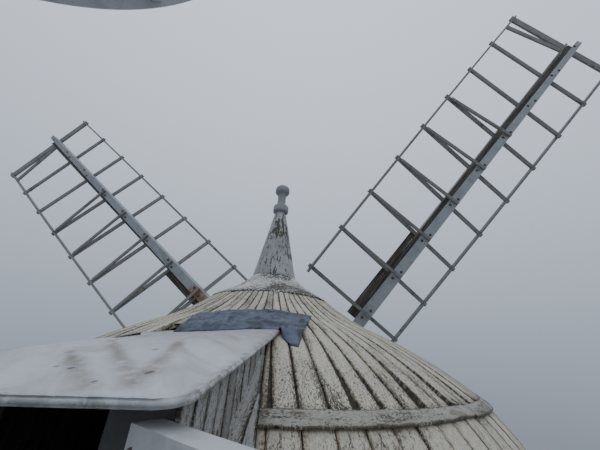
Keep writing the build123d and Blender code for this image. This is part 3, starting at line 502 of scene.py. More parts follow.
SLOT_FINISH = {
    "tarred_brick": "tarred_brick", "brick_paving": "paving", "floor_timber": "floor_timber",
    "sill_stone": "sill_stone", "window_glass": "glass", "white_joinery": "joinery_white",
    "door_paint": "door_green", "aged_timber": "aged_oak", "dark_iron": "iron",
    "white_boards": "band_paint", "grey_boards": "frame_paint_and_shade", "white_sheet": "canopy_sheet",
    "painted_lead": "spire_paint", "finial_paint": "spire_paint", "white_sail_timber": "sail_white",
    "bare_sail_timber": "whip_timber", "white_sail_bars": "bar_paint", "stage_boards": "deck_timber",
    "stage_timber": "stage_white", "fan_timber": "fan_timber", "fan_paint": "fan_white",
}
NODE_SLOT = {entry["node"]: entry["material_slot"] for entry in frame["record"]["subparts"]}
# CAD boarding and cheeks behind the visible boards, which get the near-black painted gap shade
NODES_IN_GAP_SHADE = ("upper_boarding", "lower_boarding", "dormer_cheeks")


def dress_cad_nodes():
    for name, node in frame["nodes"].items():
        finish_name = "gap_shade_boards" if name in NODES_IN_GAP_SHADE else SLOT_FINISH[NODE_SLOT[name]]
        if not node.data.materials:
            node.data.materials.append(None)
        for place in range(len(node.data.materials)):
            node.data.materials[place] = FINISHES[finish_name]


def linked(name, data):
    """A new object in the scene."""
    piece = bpy.data.objects.new(name, data)
    bpy.context.collection.objects.link(piece)
    return piece


def finished(name, mesh, body, slot, finish_name=None, replaces=()):
    """Puts a piece's mesh in the scene, riding on its body."""
    piece = linked(name, mesh)
    mesh.materials.clear()
    mesh.materials.append(FINISHES[finish_name or SLOT_FINISH[slot]])
    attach(piece, body)
    if replaces:
        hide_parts(*replaces)


# Steps that meshes are made with

def drift(x, y, z):
    """A smooth random value from -1 to 1 that depends on the place alone."""
    return noise.noise(Vector((x, y, z)))


def made_mesh(shape, name):
    """Ends a bmesh as a plain mesh."""
    mesh = bpy.data.meshes.new(name)
    shape.to_mesh(mesh)
    shape.free()
    return mesh


def closed_up(shape, mesh):
    """Fills the open cuts and puts the shape back into its mesh."""
    bmesh.ops.holes_fill(shape, edges=[e for e in shape.edges if e.is_boundary], sides=0)
    shape.to_mesh(mesh)
    shape.free()


def gathered(name, shapes):
    """Joins several bmeshes into one plain mesh."""
    merged = bmesh.new()
    for shape in shapes:
        part = made_mesh(shape, name)
        merged.from_mesh(part)
        bpy.data.meshes.remove(part)
    return made_mesh(merged, name)


def board_section(shoulder, thick):
    """Round a board's section: places across it, from -1 to 1, with depths below its face."""
    return (-1, 0.003), (-shoulder, 0), (shoulder, 0), (1, 0.003), (1, thick), (-1, thick)


def board_shape(rings):
    """A closed board from rings of points, each with its places on the grain and spread maps."""
    shape = bmesh.new()
    grain, spread = (shape.loops.layers.uv.new(layer) for layer in ("grain", "spread"))
    verts = [[shape.verts.new(point) for point, _ in ring] for ring in rings]
    count, last = len(rings[0]), len(rings) - 1

    def face_of(corners):
        face = shape.faces.new([verts[n][c % count] for n, c in corners])
        for loop, (n, c) in zip(face.loops, corners):
            loop[grain].uv, loop[spread].uv = rings[n][c % count][1]
        return face

    for n in range(last):
        for c in range(count):
            face = face_of(((n, c), (n, c + 1), (n + 1, c + 1), (n + 1, c)))
            face.smooth = c < count - 3
    face_of([(0, c) for c in reversed(range(count))])
    face_of([(last, c) for c in range(count)])
    bmesh.ops.recalc_face_normals(shape, faces=shape.faces)
    return shape


def block_shape(lows, highs, soft=0.004):
    """A square-edged bar with softened edges."""
    shape = bmesh.new()
    bmesh.ops.create_cube(shape, size=1.0)
    for vert in shape.verts:
        vert.co = Vector([(a + b) / 2 + (b - a) * c for a, b, c in zip(lows, highs, vert.co)])
    bmesh.ops.bevel(shape, geom=shape.edges[:], offset=soft, segments=2, affect="EDGES")
    return shape


def plug_shape(sides, near, far, depth, middle):
    shape = bmesh.new()
    bmesh.ops.create_cone(shape, cap_ends=True, segments=sides, radius1=near, radius2=far, depth=depth)
    shape.transform(Matrix.Translation(middle))
    return shape


def skinned(shape, lines, first=0):
    """Joins each line of points to the next by faces. Where the lines are open, first is 1."""
    for low, high in zip(lines, lines[1:]):
        for n in range(first, len(low)):
            shape.faces.new((low[n - 1], low[n], high[n], high[n - 1]))


def smoothed(shape):
    for face in shape.faces:
        face.smooth = True
    return shape


# Geometry trees for what repeats

BOARD_SOCKETS = {"Boards": "Collection", "Count": "Int", "Kinds": "Int", "Stray": "Float",
                 "Seed": "Int", "Finish": "Material"}


def new_tree(name, **sockets):
    """An empty tree with named inputs, and the sockets that they come out of."""
    tree = bpy.data.node_groups.new(name, "GeometryNodeTree")
    tree.interface.new_socket("Geometry", in_out="INPUT", socket_type="NodeSocketGeometry")
    for label, kind in sockets.items():
        tree.interface.new_socket(label, in_out="INPUT", socket_type="NodeSocket" + kind)
    tree.interface.new_socket("Geometry", in_out="OUTPUT", socket_type="NodeSocketGeometry")
    return tree, tree.nodes.new("NodeGroupInput").outputs


def ended(tree, given, instances):
    """Makes the instances real and gives them their finish."""
    real = add(tree, "GeometryNodeRealizeInstances", {0: instances}).outputs[0]
    paint = add(tree, "GeometryNodeSetMaterial", {"Geometry": real, "Material": given["Finish"]})
    add(tree, "NodeGroupOutput", {0: paint.outputs[0]})
    return tree


def boarded(tree, given, points, tone_seed, **turned):
    """Sets one of the boards, picked by chance, on each point, with a tone of its own."""
    kinds = add(tree, "GeometryNodeCollectionInfo", {
        "Collection": given["Boards"], "Separate Children": True, "Reset Children": True})
    pick = add(tree, "FunctionNodeRandomValue", {
        4: 0, 5: worked("SUBTRACT", given["Kinds"], 1.0), "Seed": given["Seed"]}, data_type="INT")
    laid = add(tree, "GeometryNodeInstanceOnPoints", {
        "Points": points, "Instance": kinds.outputs[0], "Instance Index": pick.outputs[2],
        "Pick Instance": True, **turned})
    tone = add(tree, "FunctionNodeRandomValue", {"Seed": tone_seed})
    keep = add(tree, "GeometryNodeStoreNamedAttribute", {
        "Geometry": laid.outputs[0], "Name": "plank", "Value": tone.outputs[1]}, domain="INSTANCE")
    return ended(tree, given, keep.outputs[0])


def ring_tree():
    """Sets picked boards round the cap's axis, each a little out of true."""
    tree, given = new_tree("boards_round_axis", **BOARD_SOCKETS)
    points = add(tree, "GeometryNodePoints", {"Count": given["Count"]}).outputs[0]
    index = tree.nodes.new("GeometryNodeInputIndex").outputs[0]
    turn = worked("MULTIPLY", index, worked("DIVIDE", 2 * pi, given["Count"]))
    stray = add(tree, "FunctionNodeRandomValue", {
        2: worked("MULTIPLY", given["Stray"], -1.0), 3: given["Stray"], "Seed": given["Seed"]})
    total = worked("ADD", turn, stray.outputs[1])
    euler = add(tree, "ShaderNodeCombineXYZ", {"Z": total}).outputs[0]
    return boarded(tree, given, points, RING_TONE_SEED, Rotation=euler)


def row_tree():
    """Lays picked boards side by side along X."""
    tree, given = new_tree("boards_in_row", Pitch="Float", **BOARD_SOCKETS)
    step = add(tree, "ShaderNodeCombineXYZ", {"X": given["Pitch"]}).outputs[0]
    line = add(tree, "GeometryNodeMeshLine", {"Count": given["Count"], "Offset": step}).outputs[0]
    reach = add(tree, "ShaderNodeCombineXYZ", {"Z": given["Stray"]}).outputs[0]
    stray = add(tree, "FunctionNodeRandomValue", {0: (0, 0, 0), 1: reach, "Seed": given["Seed"]},
                data_type="FLOAT_VECTOR").outputs[0]
    moved = add(tree, "GeometryNodeSetPosition", {"Geometry": line, "Offset": stray}).outputs[0]
    return boarded(tree, given, moved, given["Seed"])


def arch_tree():
    """Sets bricks on end round a flat arc, over its middle."""
    tree, given = new_tree("bricks_round_arch", Brick="Object", Count="Int", Radius="Float",
                           Spread="Float", Seed="Int", Finish="Material")
    points = add(tree, "GeometryNodePoints", {"Count": given["Count"]}).outputs[0]
    index = tree.nodes.new("GeometryNodeInputIndex").outputs[0]
    share = worked("DIVIDE", index, worked("SUBTRACT", given["Count"], 1.0))
    turn = worked("MULTIPLY", worked("SUBTRACT", share, 0.5), worked("MULTIPLY", given["Spread"], 2.0))
    stray = add(tree, "FunctionNodeRandomValue", {2: -ARCH_STRAY, 3: ARCH_STRAY, "Seed": given["Seed"]})
    spot = add(tree, "ShaderNodeCombineXYZ", {
        "X": worked("MULTIPLY", worked("SINE", turn), given["Radius"]), "Y": stray.outputs[1],
        "Z": worked("MULTIPLY", worked("COSINE", turn), given["Radius"])}).outputs[0]
    moved = add(tree, "GeometryNodeSetPosition", {"Geometry": points, "Position": spot}).outputs[0]
    euler = add(tree, "ShaderNodeCombineXYZ", {"Y": turn}).outputs[0]
    brick = add(tree, "GeometryNodeObjectInfo", {0: given["Brick"]}).outputs["Geometry"]
    laid = add(tree, "GeometryNodeInstanceOnPoints", {"Points": moved, "Instance": brick, "Rotation": euler})
    return ended(tree, given, laid.outputs[0])


def stud_tree():
    """Sets one stud on each point, standing along the point's facing."""
    tree, given = new_tree("studs_on_points", Stud="Object", Finish="Material")
    facing = add(tree, "GeometryNodeInputNamedAttribute", {"Name": "facing"}, data_type="FLOAT_VECTOR")
    turn = add(tree, "FunctionNodeAlignRotationToVector", {"Vector": facing.outputs[0]}, axis="Z").outputs[0]
    stud = add(tree, "GeometryNodeObjectInfo", {0: given["Stud"]}).outputs["Geometry"]
    laid = add(tree, "GeometryNodeInstanceOnPoints", {
        "Points": given["Geometry"], "Instance": stud, "Rotation": turn})
    return ended(tree, given, laid.outputs[0])


def grown(name, tree, inputs, source=None):
    """Runs a tree, on an empty mesh if none is given, and returns its result as a plain mesh."""
    carrier = linked(name, source or bpy.data.meshes.new(name))
    modifier = carrier.modifiers.new(name, "NODES")
    modifier.node_group = tree
    names = {s.name: s.identifier for s in tree.interface.items_tree if s.in_out == "INPUT"}
    for key, value in inputs.items():
        modifier[names[key]] = value
    bpy.context.view_layer.update()
    graph = bpy.context.evaluated_depsgraph_get()
    mesh = bpy.data.meshes.new_from_object(carrier.evaluated_get(graph))
    carrier.modifiers.clear()
    bpy.data.objects.remove(carrier)
    mesh.name = name
    return mesh


def boards_by(tree, name, shapes, finish_name, inputs):
    """Lays a few kinds of board by one of the trees, as one plain mesh."""
    kinds = bpy.data.collections.new(name)
    bpy.context.scene.collection.children.link(kinds)
    for number, shape in enumerate(shapes):
        label = f"{name}_{number}"
        kinds.objects.link(bpy.data.objects.new(label, made_mesh(shape, label)))
    given = {"Boards": kinds, "Kinds": len(shapes), "Finish": FINISHES[finish_name], **inputs}
    mesh = grown(name, tree, given)
    for piece in kinds.objects[:]:
        bpy.data.objects.remove(piece)
    bpy.data.collections.remove(kinds)
    return mesh


# Boards round the cap

def cap_board(line, seed, end_slack):
    """One board bent to the line, lying over +X, as wide as its share of the ring."""
    rng = random.Random(seed)
    points = [Vector((r, 0.0, z)) for r, z in line]
    lengths = [0.0]
    for low, high in zip(points, points[1:]):
        lengths.append(lengths[-1] + (high - low).length)
    gap_low, gap_high = rng.uniform(0.006, 0.020), rng.uniform(0.002, 0.007)
    lift_low = rng.uniform(0.0, 0.012)
    cup = rng.uniform(-0.002, 0.004)
    start, slant = rng.uniform(0.0, end_slack), rng.uniform(-0.35, 0.35) * end_slack
    wedge = rng.choice((0.0, 0.0, 0.30, 0.55, 0.95)) * (end_slack > 0)
    wedge_side = rng.choice((-1, 1))
    waver, wedge_length = 0.006, 0.42
    section = ((-1, 0.003), (-0.96, 0), (-0.3, -cup), (0.3, -cup), (0.96, 0), (1, 0.003),
               (1, BOARD_THICK), (-1, BOARD_THICK))
    rings = []
    for number, point in enumerate(points):
        before, after = points[max(number - 1, 0)], points[min(number + 1, len(points) - 1)]
        along = (after - before).normalized()
        out = Vector((along.z, 0.0, -along.x))
        run = lengths[number] / lengths[-1]
        half = pi / BOARD_COUNT * point.x - (gap_low + (gap_high - gap_low) * run) / 2
        lift = lift_low * (1 - run) ** 3 + waver * drift(seed * 3.7, run * 3.0, 0.0)
        side = waver * 0.6 * drift(seed * 1.9, run * 2.2, 5.0)
        lost = wedge * half * max(0.0, 1 - run / wedge_length) ** 1.4
        ring = []
        for place, depth in section:
            width = place * half + side
            if place * wedge_side > 0:
                width -= wedge_side * lost * abs(place)
            spot = point + out * (BOARD_PROUD + lift - depth) + Vector((0, width, 0))
            if number == 0:
                ragged = 0.006 * drift(seed, place * 4, 9.0)
                spot += along * (start + slant * place + ragged)
            ring.append((spot, ((width + seed * 0.73, lengths[number] + seed * 1.3), (place, run))))
        rings.append(ring)
    return board_shape(rings)


def canopy_top(y):
    return CANOPY_EDGE[1] + (CANOPY_EDGE[0] - y) * tan(CANOPY_SLOPE)


def cut_for_dormer(mesh):
    """Trims the boards along the dormer's two radial cuts and the canopy's top."""
    shape = bmesh.new()
    shape.from_mesh(mesh)
    edge = Vector((0, *CANOPY_EDGE))
    sides = [Vector((cos(DORMER_CUT) * turn, -sin(DORMER_CUT), 0)) for turn in (-1, 1)]
    behind, beside = 0.8, 1.2
    for point, normal in ((Vector(), sides[0]), (Vector(), sides[1]), (edge, CANOPY_UP)):
        faces = [f for f in shape.faces if all(v.co.y > behind and abs(v.co.x) < beside for v in f.verts)]
        edges = {e for f in faces for e in f.edges}
        verts = {v for f in faces for v in f.verts}
        bmesh.ops.bisect_plane(shape, geom=[*faces, *edges, *verts], plane_co=point, plane_no=normal)
    inside = []
    for face in shape.faces:
        middle = face.calc_center_median()
        between_cuts = middle.y > behind and all(middle.dot(side) < 0 for side in sides)
        if between_cuts and (middle - edge).dot(CANOPY_UP) < 0:
            inside.append(face)
    bmesh.ops.delete(shape, geom=inside, context="FACES")
    closed_up(shape, mesh)


def cap_boards(name, line, seed, end_slack):
    shapes = [cap_board(line, seed + number, end_slack) for number in range(BOARD_VARIANTS)]
    mesh = boards_by(RING, name, shapes, "cap_board_paint",
                     {"Count": BOARD_COUNT, "Stray": 0.0012, "Seed": seed})
    cut_for_dormer(mesh)
    finished(name, mesh, "cap", "white_boards", "cap_board_paint")


# Dormer: canopy sheet, boarded cheeks and the flashing

def canopy_height(x, y):
    """The sheet's top, which drops a little at its far left."""
    near = eased(y - 1.5)
    left = clamped((x + CANOPY_HALF) / (2 * CANOPY_HALF))
    return canopy_top(y) - 0.004 * near - (1 - near) * 0.057 * left ** 1.5


def bowed(x, y):
    """The near edge runs out a little at its middle and back towards its corners."""
    start = 2.2
    return y + (0.028 - 0.149 * abs(x)) * eased((y - start) / (CANOPY_EDGE[0] - start))


def canopy_half(y):
    """Half the sheet's width: it is a little broader at its near edge."""
    share = clamped((y - CANOPY_BACK) / (CANOPY_EDGE[0] - CANOPY_BACK))
    return CANOPY_HALF - 0.026 + 0.060 * share ** 0.6


def run_share(x, y):
    """How near a place on the sheet lies to one of the runs, from 0 to 1."""
    best = 0.0
    for head, foot in CANOPY_RUNS:
        way = Vector(foot) - Vector(head)
        spot = Vector((x, y)) - Vector(head)
        share = clamped(spot.dot(way) / way.length_squared)
        wander = 0.03 * drift(x * 5, y * 5, 2.0)
        best = max(best, 1.0 - ((spot - way * share).length + wander) / (0.030 + 0.035 * share))
    return best


def canopy_sheet():
    """A thick sheet with rounded near corners and a soft lip all round."""
    across, along, bends = 44, 52, 8
    steps = [CANOPY_EDGE[0] - CANOPY_CORNER * (1 - cos(pi / 2 * n / bends)) for n in range(bends)]
    low = steps[-1]
    steps += [low - (low - CANOPY_BACK) * n / along for n in range(1, along + 1)]
    shape = bmesh.new()
    top, base = [], []
    for y in steps:
        inset = max(0.0, y - (CANOPY_EDGE[0] - CANOPY_CORNER))
        half = canopy_half(y) - CANOPY_CORNER + sqrt(max(CANOPY_CORNER ** 2 - inset ** 2, 0.0))
        xs = [half * (2 * n / across - 1) for n in range(across + 1)]
        spots = [(x, bowed(x, y), canopy_height(x, bowed(x, y))) for x in xs]
        top.append([shape.verts.new(spot) for spot in spots])
        base.append([shape.verts.new((x, place, z - CANOPY_THICK)) for x, place, z in spots])
    rims = []
    for grid in (top, base):
        skinned(shape, grid, 1)
        right, left = ([row[end] for row in grid] for end in (-1, 0))
        rims.append(grid[0] + right[1:] + grid[-1][-2::-1] + left[-2:0:-1])
    skinned(shape, rims)
    bmesh.ops.recalc_face_normals(shape, faces=shape.faces)
    lips = [shape.edges.get((ring[n - 1], ring[n])) for ring in rims for n in range(len(ring))]
    flat = set(shape.faces)
    bmesh.ops.bevel(shape, geom=lips, offset=0.006, segments=3, affect="EDGES")
    for face in shape.faces:
        face.smooth = face not in flat
    drip, rim_dirt = (shape.verts.layers.float.new(layer) for layer in ("drip", "rim"))
    for vert in shape.verts:
        x, y, _ = vert.co
        vert[drip] = max(run_share(x, y), 0.42 * clamped((2.35 - y) / 0.5))
        reach = min(canopy_half(y) - abs(x), CANOPY_EDGE[0] - y) + 0.004
        vert[rim_dirt] = max(0.0, 1.0 - reach / 0.05) * (1.0 if x < -0.25 else 0.35)
    finished("canopy_cover", made_mesh(shape, "canopy_cover"), "cap", "white_sheet", replaces=("canopy",))


def straight_board(width, thick, length, seed):
    """A board lying along Y with its outer face up, from the origin."""
    half = width / 2 - random.Random(seed).uniform(0.0022, 0.0065)
    rings, steps = [], 7
    for step in range(steps + 1):
        run = step / steps
        side = 0.003 * drift(seed * 2.3, run * 2.0, 1.0)
        lift = 0.0015 * drift(seed * 4.1, run * 3.0, 3.0)
        rings.append([(Vector((place * half + side, run * length, lift - depth)),
                       ((place * half + seed * 0.73, run * length + seed * 1.1), (place, 0.5)))
                      for place, depth in board_section(0.94, thick)])
    return board_shape(rings)


def board_row(name, count, pitch, thick, length, stray, seed, finish_name, kinds=6):
    """A row of straight boards as one mesh, each a little different."""
    shapes = [straight_board(pitch, thick, length, seed + number) for number in range(kinds)]
    return boards_by(ROW, name, shapes, finish_name,
                     {"Count": count, "Pitch": pitch, "Stray": stray, "Seed": seed})


def trimmed(mesh, point, normal):
    """Cuts off what lies beyond a plane and closes the cut."""
    shape = bmesh.new()
    shape.from_mesh(mesh)
    bmesh.ops.bisect_plane(shape, geom=[*shape.verts, *shape.edges, *shape.faces],
                           plane_co=point, plane_no=normal, clear_outer=True)
    closed_up(shape, mesh)


def cheek_boards():
    """Upright boards on both dormer cheeks, cut to the canopy's slope."""
    count, length, seed = 10, 1.75, 61
    pitch = (DORMER_FRONT - CHEEK_BACK) / count
    under = Vector((0, CANOPY_EDGE[0], CANOPY_EDGE[1] - CANOPY_THICK / cos(CANOPY_SLOPE) - 0.003))
    for label, turn in (("left", 1), ("right", -1)):
        name = f"cheek_boards_{label}"
        mesh = board_row(name, count, pitch, CHEEK_BOARD_THICK, length, 0.004, seed + turn, "cheek_paint")
        upright = Matrix(((0, 1, 0), (0, 0, 1), (turn, 0, 0))).transposed().to_4x4()
        foot = (turn * (DORMER_HALF + CHEEK_BOARD_THICK), CHEEK_BACK + pitch / 2, STAGE_TOP)
        mesh.transform(Matrix.Translation(foot) @ upright)
        if turn > 0:
            mesh.flip_normals()
        trimmed(mesh, under, CANOPY_UP)
        finished(name, mesh, "cap", "grey_boards", "cheek_paint")


def return_boards(turn, label):
    """Upright boards that close each cheek to the cap, cut off where the cap's boards stop."""
    count, width, steps = 3, 0.074, 18
    inner = DORMER_HALF + 0.012
    foremost, hindmost = 2.42, 1.9
    rise = canopy_top(1.70) - 0.05 - STAGE_TOP
    section = board_section(0.9, CHEEK_BOARD_THICK)
    shapes = []
    for number in range(count):
        rings = []
        for step in range(steps + 1):
            z = STAGE_TOP + rise * step / steps
            radius = cap_radius(z) + BOARD_PROUD
            far = Vector((radius * sin(DORMER_CUT), radius * cos(DORMER_CUT), z))
            front = Vector((inner, min(foremost, max(far.y + 0.03, hindmost)), z))
            total = far.x - inner
            low = min(width * number / total, 1.0)
            high = min(width * (number + 1) / total, 1.0) if number < count - 1 else 1.0
            if high - low < 0.03:
                break
            run = (far - front).normalized()
            out = Vector((abs(run.y), -run.x, 0)).normalized()
            near, end = front.lerp(far, low), front.lerp(far, high)
            gap = min(0.0045, (end - near).length * 0.1)
            sway = 0.004 * drift(number * 4.1, z * 2.0, 1.0)
            ring = []
            for place, depth in section:
                spot = (near + end) / 2 + (end - near) / 2 * place - run * (gap * place - sway) - out * depth
                marks = (place * width / 2 + number * 1.7, z + number * 0.9), (place, 0.5)
                ring.append((Vector((spot.x * turn, spot.y, spot.z)), marks))
            rings.append(ring)
        shapes.append(board_shape(rings))
    name = f"return_boards_{label}"
    finished(name, gathered(name, shapes), "cap", "grey_boards", "cheek_paint")


def knuckle_strips():
    """The band over the knuckle, in bent lengths with a wavering lower edge."""
    first, last = pi / 2 + DORMER_CUT, pi * 2.5 - DORMER_CUT
    count, steps, thick = 9, 20, 0.014
    low_edge, high_edge = -0.056, 0.040
    slope = (Vector(KNUCKLE) - Vector(lower_line()[-2])).normalized()
    rise = (slope + Vector((-cos(0.42), sin(0.42)))).normalized()
    section = ((-1, 0.004), (-0.9, 0), (0, -0.001), (0.9, 0), (1, 0.004), (1, thick), (-1, thick))
    shapes = []
    for number in range(count):
        rng = random.Random(500 + number)
        low_drift, high_drift = rng.uniform(-0.012, 0.012), rng.uniform(-0.008, 0.008)
        rings = []
        for step in range(steps + 1):
            run = step / steps
            angle = first + (last - first) / count * (number + run * 0.998)
            sway = 0.016 * drift(angle * 3.1, 0.0, 8.0) + low_drift * (run - 0.5) * 2
            low, high = low_edge + sway, high_edge + high_drift * (run - 0.5)
            ring = []
            for place, depth in section:
                along = low + (high - low) * (place + 1) / 2
                lift = BOARD_PROUD + 0.017 - depth + 0.004 * drift(angle * 7, place, 3.0)
                radius = KNUCKLE[0] + rise.x * along + rise.y * lift
                height = KNUCKLE[1] + rise.y * along - rise.x * lift
                spot = Vector((radius * cos(angle), radius * sin(angle), height))
                ring.append((spot, ((along + number * 1.3, angle * 2.2), (place, 0.35))))
            rings.append(ring)
        shapes.append(board_shape(rings))
    finished("knuckle_strips", gathered("knuckle_strips", shapes), "cap", "white_boards", "strip_paint",
             replaces=("knuckle_band",))


def flashing_edges(x):
    """Where the lead sheet's near and far edges lie, as it crosses the canopy and the cap."""
    low = CANOPY_BACK + 0.03 + 0.006 * drift(x * 9.0, 2.0, 0.0)
    if x < FLAP_FROM:
        low += 0.10 * min(1.0, (FLAP_FROM - x) / 0.10)
    else:
        while low < 1.9 and cap_height(hypot(x, low)) + BOARD_PROUD > canopy_height(x, low) - 0.004:
            low += 0.01
    sway = 0.03 * drift(x * 4.0, 7.0, 0.0)
    return low, 1.18 + 0.20 * max(x, 0.0) - 0.32 * max(-x - 0.05, 0.0) + sway


def flashing():
    """A crumpled lead sheet laid over the joint of canopy and cap, with a flap at one end."""
    columns, rows = 64, 16
    left, right = FLASHING_ENDS
    shape = bmesh.new()
    grid = []
    for i in range(columns + 1):
        x = left + (right - left) * i / columns
        low, high = flashing_edges(x)
        line = []
        for j in range(rows + 1):
            share = j / rows
            y = low + (high - low) * share
            roof = canopy_height(x, y) if abs(x) < CANOPY_HALF else 0.0
            base = max(cap_height(hypot(x, y)) + BOARD_PROUD, roof)
            where = Vector((x * 3.2 + y * 1.6, y * 4.0, 0.3))
            folds = noise.ridged_multi_fractal(where, 1.0, 2.1, 3, 0.9, 2.0)
            creases = abs(drift(x * 17.0, y * 15.0, 4.0))
            loose = min(1.0, share * 4) * min(1.0, (1 - share) * 5 + 0.25)
            seat = 0.014 * max(0.0, 1.0 - share * 4) if x < 0.02 - CANOPY_HALF else 0.0
            lift = 0.003 + seat + loose * (0.024 * folds + 0.024 * creases)
            line.append(shape.verts.new((x, y, base + lift)))
        grid.append(line)
    skinned(shape, grid, 1)
    bmesh.ops.recalc_face_normals(shape, faces=shape.faces)
    if grid[0][0].link_faces[0].normal.z < 0:
        bmesh.ops.reverse_faces(shape, faces=shape.faces)
    bmesh.ops.solidify(shape, geom=shape.faces[:], thickness=0.004)
    mesh = made_mesh(smoothed(shape), "canopy_flashing")
    finished("canopy_flashing", mesh, "cap", "white_sheet", "lead")


# Spire and finial

def turned_mesh(name, profile, segments, waver):
    """A closed piece turned about the cap's axis, with an uneven surface."""
    shape = bmesh.new()
    rings = []
    for number, (radius, z) in enumerate(profile[1:-1]):
        ring = []
        for step in range(segments):
            angle = 2 * pi * step / segments
            where = Vector((cos(angle) * 2.2, sin(angle) * 2.2, z * 5.0))
            out = radius * (1 + waver * noise.noise(where))
            rise = waver * 0.25 * radius * noise.noise(where * 2.0) if number < 3 else 0.0
            ring.append(shape.verts.new((out * cos(angle), out * sin(angle), z + rise)))
        rings.append(ring)
    skinned(shape, rings)
    for ring, (_, z) in ((rings[0], profile[0]), (rings[-1], profile[-1])):
        pole = shape.verts.new((0, 0, z))
        for n in range(segments):
            shape.faces.new((ring[n - 1], ring[n], pole))
    bmesh.ops.recalc_face_normals(shape, faces=shape.faces)
    return made_mesh(smoothed(shape), name)


def spire():
    """A tall cone on a skirt of sheets that spreads over the ends of the boards."""
    (foot, low), (cone_foot, cone_top) = SPIRE_FOOT, CONE_RADII
    lap, hem = 0.05, low + 0.024
    skirt = [(0, low), (foot - 0.06, low + 0.004), (foot + 0.006, low + 0.012), (foot + 0.004, hem)]
    bends, lengths = 14, 12
    for step in range(1, bends + 1):
        share = step / bends
        radius = cone_foot + (foot - cone_foot) * (1 - share) ** 1.4
        skirt.append((radius + 0.004 * (share < 1), hem + (CONE_FOOT_Z - hem) * share))
    skirt.append((0, CONE_FOOT_Z))
    mesh = turned_mesh("spire_skirt", skirt, 110, 0.05)
    finished("spire_skirt", mesh, "cap", "painted_lead", "skirt_paint", replaces=("lead_spire",))
    cone = [(0, CONE_FOOT_Z - lap)]
    for step in range(lengths + 1):
        share = step / lengths
        cone.append((cone_foot - 0.003 + (cone_top - cone_foot) * share,
                     CONE_FOOT_Z - lap + (CONE_TOP_Z - CONE_FOOT_Z + lap) * share))
    cone.append((0, CONE_TOP_Z))
    finished("spire_cone", turned_mesh("spire_cone", cone, 72, 0.03), "cap", "painted_lead")


def finial():
    """A turned post with a broad collar, a slim neck and a flattened ball."""
    line = ((0, -0.012), (0.086, -0.012), (0.114, -0.004), (0.118, 0.014), (0.118, 0.085), (0.108, 0.104),
            (0.078, 0.116), (0.066, 0.136), (0.063, 0.235), (0.066, 0.322), (0.078, 0.332), (0.100, 0.340),
            (0.111, 0.360), (0.112, 0.412), (0.105, 0.442), (0.086, 0.460), (0.040, 0.471), (0, 0.473))
    mesh = turned_mesh("finial_turning", [(r, CONE_TOP_Z + z) for r, z in line], 48, 0.02)
    finished("finial_turning", mesh, "cap", "finial_paint", "finial_grey", replaces=("finial",))


# Tower openings

def tower_radius(z):
    low, high = TOWER_RADII
    return low + (high - low) * z / TOWER_HEIGHT


def openings():
    """Angle round from the front, foot height and size of each window and of the door."""
    places = []
    for storey in range(STOREYS):
        turn = 90 if storey % 2 == 0 else 0
        for side in (0, 180):
            places.append((side + turn, storey * TOWER_HEIGHT / STOREYS + SILL_RISE, WINDOW))
    return places + [(180, DOOR_STEP, DOOR)]


def glazing_bars():
    """One upright and two cross bars in each window."""
    width, height, _ = WINDOW
    clear, bar = width / 2 - FRAME_FACE, 0.012
    shapes = []
    for angle, foot, _ in openings()[:-1]:
        near = tower_radius(foot + height) - FRAME_RECESS
        low, high = -near + 0.022, -near + 0.068
        bars = [block_shape((-bar, low, FRAME_FACE), (bar, high, height - FRAME_FACE))]
        for share in (1 / 3, 2 / 3):
            middle = FRAME_FACE + (height - 2 * FRAME_FACE) * share
            start, end = (-clear, low + 0.002, middle - bar), (clear, high - 0.002, middle + bar)
            bars.append(block_shape(start, end))
        for shape in bars:
            shape.transform(Matrix.Rotation(radians(angle), 4, "Z") @ Matrix.Translation((0, 0, foot)))
        shapes += bars
    finished("glazing_bars", gathered("glazing_bars", shapes), "tower", "white_joinery")


def arch_bricks():
    """Bricks on end over every opening, bent to the round wall."""
    block = block_shape((-0.034, -0.016, 0.004), (0.034, 0.09, 0.216), 0.005)
    brick = linked("arch_brick", made_mesh(block, "arch_brick"))
    half_brick, brick_pitch = 0.11, 0.078
    shapes = []
    for number, (angle, foot, (width, height, rise)) in enumerate(openings()):
        radius = (width * width / 4 + rise * rise) / (2 * rise)
        spread = atan2(width / 2, radius - rise)
        count = int(2 * spread * (radius + half_brick) / brick_pitch)
        arch = grown("arch", ARCH, {"Brick": brick, "Count": count, "Radius": radius, "Spread": spread,
                                    "Seed": number, "Finish": FINISHES["arch_brick"]})
        part = bmesh.new()
        part.from_mesh(arch)
        for vert in part.verts:
            x, depth, z = vert.co
            level = foot + height - radius + z
            vert.co = (x, depth - sqrt(tower_radius(level) ** 2 - x * x), level)
        part.transform(Matrix.Rotation(radians(angle), 4, "Z"))
        shapes.append(part)
    bpy.data.objects.remove(brick)
    finished("arch_bricks", gathered("arch_bricks", shapes), "tower", "tarred_brick", "arch_brick")


def door_boards():
    """Six upright boards on the door's outer face, following its arched head."""
    width, height, rise = DOOR
    clear, steps, count = 0.004, 4, 6
    half, top = width / 2 - FRAME_FACE - clear, height - FRAME_FACE - clear
    radius = (half * half + rise * rise) / (2 * rise)
    pitch, low = 2 * half / count, 0.008
    shapes = []
    for number in range(count):
        middle = -half + pitch * (number + 0.5)
        rings = []
        for step in range(steps + 1):
            ring = []
            for place, depth in board_section(0.95, DOOR_BOARD_THICK):
                x = middle + place * (pitch / 2 - 0.002)
                head = top - radius + sqrt(radius * radius - x * x)
                z = low + (head - low) * step / steps
                spot = Vector((x, DOOR_FRONT + depth, DOOR_STEP + z))
                ring.append((spot, ((x + number * 0.7, z + number), (place, 0.5))))
            rings.append(ring)
        shapes.append(board_shape(rings))
        shapes[-1].transform(HALF_TURN)
    finished("door_boards", gathered("door_boards", shapes), "tower", "door_paint")


